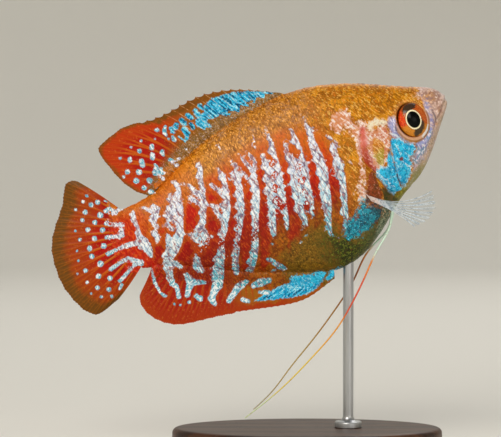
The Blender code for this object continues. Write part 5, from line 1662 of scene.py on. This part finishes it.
def pectoral(side, bend_ends, edge_points):
    """Grid whose rays are curves: at r of the way, (1 - r)^2 root + 2r(1 - r) bend + r^2 edge."""
    place = np.arange((PECTORAL_RAYS - 1) * PECTORAL_COLUMNS + 1) / PECTORAL_COLUMNS
    share = place / (PECTORAL_RAYS - 1)
    near = np.minimum(place % 1, 1 - place % 1)
    u, h = (np.array(PECTORAL_ROOT[0]) + share[:, None] * np.subtract(*PECTORAL_ROOT[::-1])).T
    root = np.stack([u, surface_y(u, h) - 0.25, h], -1)
    bend = bend_ends[0] + share[:, None] * np.subtract(*bend_ends[::-1])
    edge = path(edge_points)(share)
    ragged = 0.03 - 0.075 * np.sin(math.pi * (place % 1)) ** 0.8 + 0.012 * np.sin(9 * place)
    edge = edge + (edge - bend) * ragged[:, None]
    row = np.linspace(0, 1, PECTORAL_ROWS)[:, None, None]
    line = (1 - row) ** 2 * root + 2 * row * (1 - row) * bend + row**2 * edge
    middle = line * (-1, side, 1)
    row = row[..., 0]
    wide = np.linalg.norm(np.gradient(line, axis=1), axis=2) * PECTORAL_COLUMNS
    split = 0.15 * smoothstep(row, 0.5, 0.95)
    gap = np.abs(near - split) * wide
    middle[..., 1] += side * 0.16 * np.sin(2 * math.pi * place / 2.5) * row**2
    flesh = mound(row, 0.2)
    half = 0.025 + 0.085 * mound(gap, 0.09) * (1 - 0.5 * row) + 0.5 * flesh
    return {"middle": middle, "half": half, "ray": gap, "row": row + 0 * gap, "flesh": flesh + 0 * gap}


f = Finish("clear_fin", Roughness=0.3, Coat_Weight=0.1)
on_ray = f.step(f.read("ray"), 0.11, 0.05)
flesh = f.read("flesh")
streaks = f.noise(0.5) - 0.5
colour = f.coats(
    f.mix("8CB4C8", "DCE6F0", on_ray),
    ("6E8CA4", f.step(streaks, -0.04, 0.14) * 0.7),
    (f.mix("E8D6D0", "B08478", f.step(streaks, 0.0, 0.2)), f.step(flesh, 0.2, 0.7)),
)
solid = (0.05 + on_ray * (1.0 - f.read("row") * 0.35)).at_least(f.step(flesh, 0.15, 0.55))
f.set(Base_Color=colour, Alpha=solid.at_most(1.0))
clear_fin = f.material

for name, node, side, bend_ends, edge_points in (
    ("pectoral_right", "pectoral_fin_right", -1, RIGHT_BEND, RIGHT_EDGE),
    ("pectoral_left", "pectoral_fin_left", 1, LEFT_BEND, LEFT_EDGE),
):
    fin = pectoral(side, bend_ends, edge_points)
    piece(name, *closed_sheet(fin), clear_fin, "clear_fin", (node,), both_sides(fin, "ray", "row", "flesh"))

# %% [markdown]
# ## Feelers
#
# The pelvic fins of this family are two long threads, with which the fish touches and tastes.  Each is a tube
# that thins to its tip: white at the breast, then orange-red, then yellow.

# %% Feelers
RIGHT_FEELER = (
    (15.0, 0.9, -13.0), (17.0, 1.3, -16.4), (20.0, 1.8, -18.8), (23.4, 2.5, -21.9), (27.5, 3.0, -25.6),
    (31.6, 3.1, -28.7), (37.3, 2.8, -31.7), (43.5, 2.0, -34.5), (51.8, 0.9, -37.2),
)
LEFT_FEELER = (
    (15.0, 0.9, -13.0), (17.2, 1.3, -16.6), (19.7, 1.8, -17.9), (22.4, 2.4, -19.4), (25.5, 2.9, -22.3),
    (30.3, 3.3, -25.9), (36.5, 3.2, -29.7), (41.6, 2.6, -32.5), (46.1, 1.9, -35.1), (50.0, 1.2, -36.6),
)
FEELER_SIDES, FEELER_RINGS = 16, 220


def tube(line, radii, sides):
    """Round tube along a line: at each point a ring across the line's own direction, closed at both ends."""
    ahead = np.gradient(line, axis=0)
    ahead /= np.linalg.norm(ahead, axis=1)[:, None]
    across = np.cross(ahead, (0.0, 1.0, 0.0))
    across /= np.linalg.norm(across, axis=1)[:, None]
    third = np.cross(ahead, across)
    turn = full_turn(sides)
    ring = across[:, None] * np.cos(turn)[:, None] + third[:, None] * np.sin(turn)[:, None]
    return closed_rings(line[:, None] + ring * np.reshape(radii, (-1, 1, 1)), line[0], line[-1])


def feeler_finish(name, painted_shade):
    """Colours along the thread; the far one, behind the fish, is darkened towards olive-brown by a share of
    painted shade.
    """
    f = Finish(name, Roughness=0.35, Coat_Weight=0.3)
    u = f.read("u") + (f.noise(2.0) - 0.5) * 3
    colour = f.coats(
        f.mix("D2EEDA", "E8861C", f.step(u, 20.0, 22.5)),
        ("DE4A16", f.step(u, 22.0, 25.0)),
        ("EEA22E", f.step(u, 28.5, 31.5)),
        ("F2D23E", f.step(u, 33.0, 39.0)),
        ("DDEDB4", f.step(u, 43.5, 48.5)),
        ("A8501A", f.step(f.noise(0.35), 0.56, 0.7) * 0.35),
    )
    # painted shade: the far feeler darkens towards olive-brown by its share
    f.set(Base_Color=f.mix(colour, "84601E", f.step(u, 20.0, 26.0) * painted_shade))
    return f.material


# the left feeler, on the far side of the fish, gets 0.75 of painted shade
for name, node, side, places, painted_shade in (
    ("feeler_right", "pelvic_feeler_right", -1, RIGHT_FEELER, 0.0),
    ("feeler_left", "pelvic_feeler_left", 1, LEFT_FEELER, 0.75),
):
    share = np.linspace(0, 1, FEELER_RINGS)
    line = path(places)(share) * (-1, side, 1)
    radii = 0.085 + 0.1 * (1 - share) + 0.25 * mound(share, 0.045)
    along = np.concatenate([np.repeat(-line[:, 0], FEELER_SIDES), [-line[0, 0], -line[-1, 0]]])
    finish = feeler_finish(name + "_skin", painted_shade)
    piece(name, *tube(line, radii, FEELER_SIDES), finish, "feeler", (node,), {"u": along})

# %% [markdown]
# ## Stand
#
# The stand is what a museum would turn and polish: an oval of oiled walnut and one brushed steel rod with a
# turned foot.  Both are profiles swept round an axis; the rod's top runs a little way into the belly.

# %% Base and rod
BASE_HALF_LENGTH, BASE_HALF_WIDTH, BASE_HEIGHT, BASE_BEVEL, BASE_EASE = 23.0, 14.0, 4.0, 0.9, 0.3
ROD_X, ROD_RADIUS, ROD_TOP = 7.0, 0.9, 35.2
ROD_FOOT_RADIUS, ROD_FOOT_HEIGHT, ROD_FOOT_EASE, ROD_HOLLOW = 2.3, 0.8, 0.3, 0.9
STAND_AROUND = 160


def turned(profile, around=STAND_AROUND, centre=0.0):
    """Rings (half length, half width, z) round an upright axis at x = centre."""
    turn = full_turn(around)
    return np.array([
        np.stack([centre + a * np.cos(turn), b * np.sin(turn), np.full(around, z)], -1)
        for a, b, z in profile
    ])


def hollow(radius):
    """Quarter circle that leaves a side at (radius, 0) and meets the next at (0, radius)."""
    quarter = np.linspace(0, math.pi / 2, 9)
    return [(radius * (1 - math.sin(a)), radius * (1 - math.cos(a))) for a in quarter]


base_profile = hollow(BASE_EASE)
base_profile += [(0.0, z) for z in np.linspace(0.5, BASE_HEIGHT - BASE_BEVEL - 0.1, 6)]
base_profile += [(b, BASE_HEIGHT - a) for a, b in hollow(BASE_BEVEL)]
base_profile += [(inset, BASE_HEIGHT) for inset in (2.0, 5.0, 9.0, 12.5)]
base_rings = [(BASE_HALF_LENGTH - i, BASE_HALF_WIDTH - i, z) for i, z in base_profile]

f = Finish("walnut", Roughness=0.5, Specular_IOR_Level=0.25, Coat_Weight=0.12, Coat_Roughness=0.3)
x, y, z = (f.node("ShaderNodeSeparateXYZ", {}, [f.place], output=k) for k in range(3))
drift = f.noise(22.0, detail=2.0, stretch=(0.35, 1, 1)) - 0.5
wave = y * 1150 + z * 500 + drift * 9
rings = wave.math("SINE", wave)
fibre = f.noise(0.9, detail=4.0, roughness=0.6, stretch=(0.05, 1, 1)) - 0.5
pores = f.noise(0.35, detail=1.0, stretch=(0.09, 1, 1))
colour = f.coats(
    f.mix("4A2D1C", "2E1A10", f.step(rings + fibre * 2, -0.4, 0.9)),
    ("6B4429", f.step(fibre + drift * 0.4, 0.05, 0.3) * 0.6),
    ("1C0F09", f.step(pores, 0.63, 0.72) * 0.7),
)
f.set(Base_Color=colour, Roughness=0.42 + fibre * 0.12, Normal=f.bump(fibre - f.step(pores, 0.6, 0.7), 0.03))
base = closed_rings(turned(base_rings))
piece("walnut_base", *base, f.material, "base", ("stand_base",), world=True, sharp=40)

foot = BASE_HEIGHT + FIN_GAP
foot_top = foot + ROD_FOOT_HEIGHT
rod_profile = [(ROD_FOOT_RADIUS - 0.12, foot - 0.3), (ROD_FOOT_RADIUS, foot - 0.18)]
rod_profile += [(ROD_FOOT_RADIUS - b, foot_top - a) for a, b in hollow(ROD_FOOT_EASE)]
rod_profile += [(ROD_RADIUS + a, foot_top + b) for a, b in hollow(ROD_HOLLOW)]
rod_profile += [(ROD_RADIUS, z) for z in np.linspace(foot + 2.2, ROD_TOP, 24)]
rod_rings = [(r, r, z) for r, z in rod_profile]
f = Finish("brushed_steel", Metallic=1.0, Roughness=0.3)
brush = f.noise(0.25, detail=3.0, stretch=(1, 1, 0.03))
f.set(Base_Color=f.mix("A9ABAE", "C9CACC", brush), Roughness=0.24 + brush * 0.2,
      Normal=f.bump(brush, 0.01))
rod = closed_rings(turned(rod_rings, centre=ROD_X))
piece("steel_rod", *rod, f.material, "rod", ("stand_rod",), world=True, sharp=40)

# %% [markdown]
# ## Floor and light
#
# A pale floor that sweeps up all round keeps the eye on the fish from every side.  Its profile is flat, then
# a quarter circle, then straight up, and it is turned about the upright axis, wider than the camera's
# distance.  Three large soft lamps follow a studio's habit: a key from the upper front, a weak fill from the
# other side and a rim from behind that shines through the fins.

# %% Round floor
FLOOR_FLAT, FLOOR_BEND, FLOOR_TOP, FLOOR_AROUND = 560.0, 200.0, 640.0, 96

bend = np.linspace(0, math.pi / 2, 25)
profile = [(FLOOR_FLAT + FLOOR_BEND * math.sin(a), FLOOR_BEND * (1 - math.cos(a))) for a in bend]
profile.append((FLOOR_FLAT + FLOOR_BEND, FLOOR_TOP))
bowl = turned([(radius, radius, z) for radius, z in profile], FLOOR_AROUND)
bowl = np.vstack([bowl.reshape(-1, 3), np.zeros(3)]) * MM
bowl_faces = np.concatenate([
    grid_faces(len(profile), FLOOR_AROUND, around=True),
    fan(len(bowl) - 1, np.arange(FLOOR_AROUND)[::-1]),
])[:, ::-1]
floor_mesh = bpy.data.meshes.new("floor")
floor_mesh.from_pydata(bowl.tolist(), [], bowl_faces.tolist())
floor_mesh.shade_smooth()
floor_finish = Finish("floor", Base_Color=shade("E9E7E1"), Roughness=0.85)
floor_mesh.materials.append(floor_finish.material)
floor = bpy.data.objects.new("floor", floor_mesh)
bpy.context.scene.collection.objects.link(floor)

# %% Lights


def lamp(name, azimuth, elevation, gap, side, watts, colour):
    """Square area lamp at an angle round and above the fish, aimed at its middle."""
    data = bpy.data.lights.new(name, "AREA")
    data.size = side * MM
    data.energy = watts
    data.color = colour
    obj = bpy.data.objects.new(name, data)
    sideways, rise = math.radians(azimuth), math.radians(elevation)
    level = math.cos(rise)
    out = Vector((math.sin(sideways) * level, -math.cos(sideways) * level, math.sin(rise)))
    obj.location = Vector(aim) * MM + out * gap * MM
    obj.rotation_mode = "QUATERNION"
    obj.rotation_quaternion = (-out).to_track_quat("-Z", "Y")
    bpy.context.scene.collection.objects.link(obj)
    return obj


lamps = [
    lamp("key", -24, 34, 590, 336, 1.86, (1.0, 0.96, 0.88)),
    lamp("fill", 34, 3, 640, 448, 0.76, (1.0, 0.97, 0.93)),
    lamp("rim", 165, 48, 590, 364, 1.18, (1.0, 0.98, 0.95)),
]
world = bpy.data.worlds.new("world")
world.use_nodes = True
world.node_tree.nodes["Background"].inputs["Color"].default_value = shade("EFEEE9")
world.node_tree.nodes["Background"].inputs["Strength"].default_value = 0.3
bpy.context.scene.world = world
bpy.context.scene.view_settings.view_transform = "Standard"
print(len(lamps), "lamps")
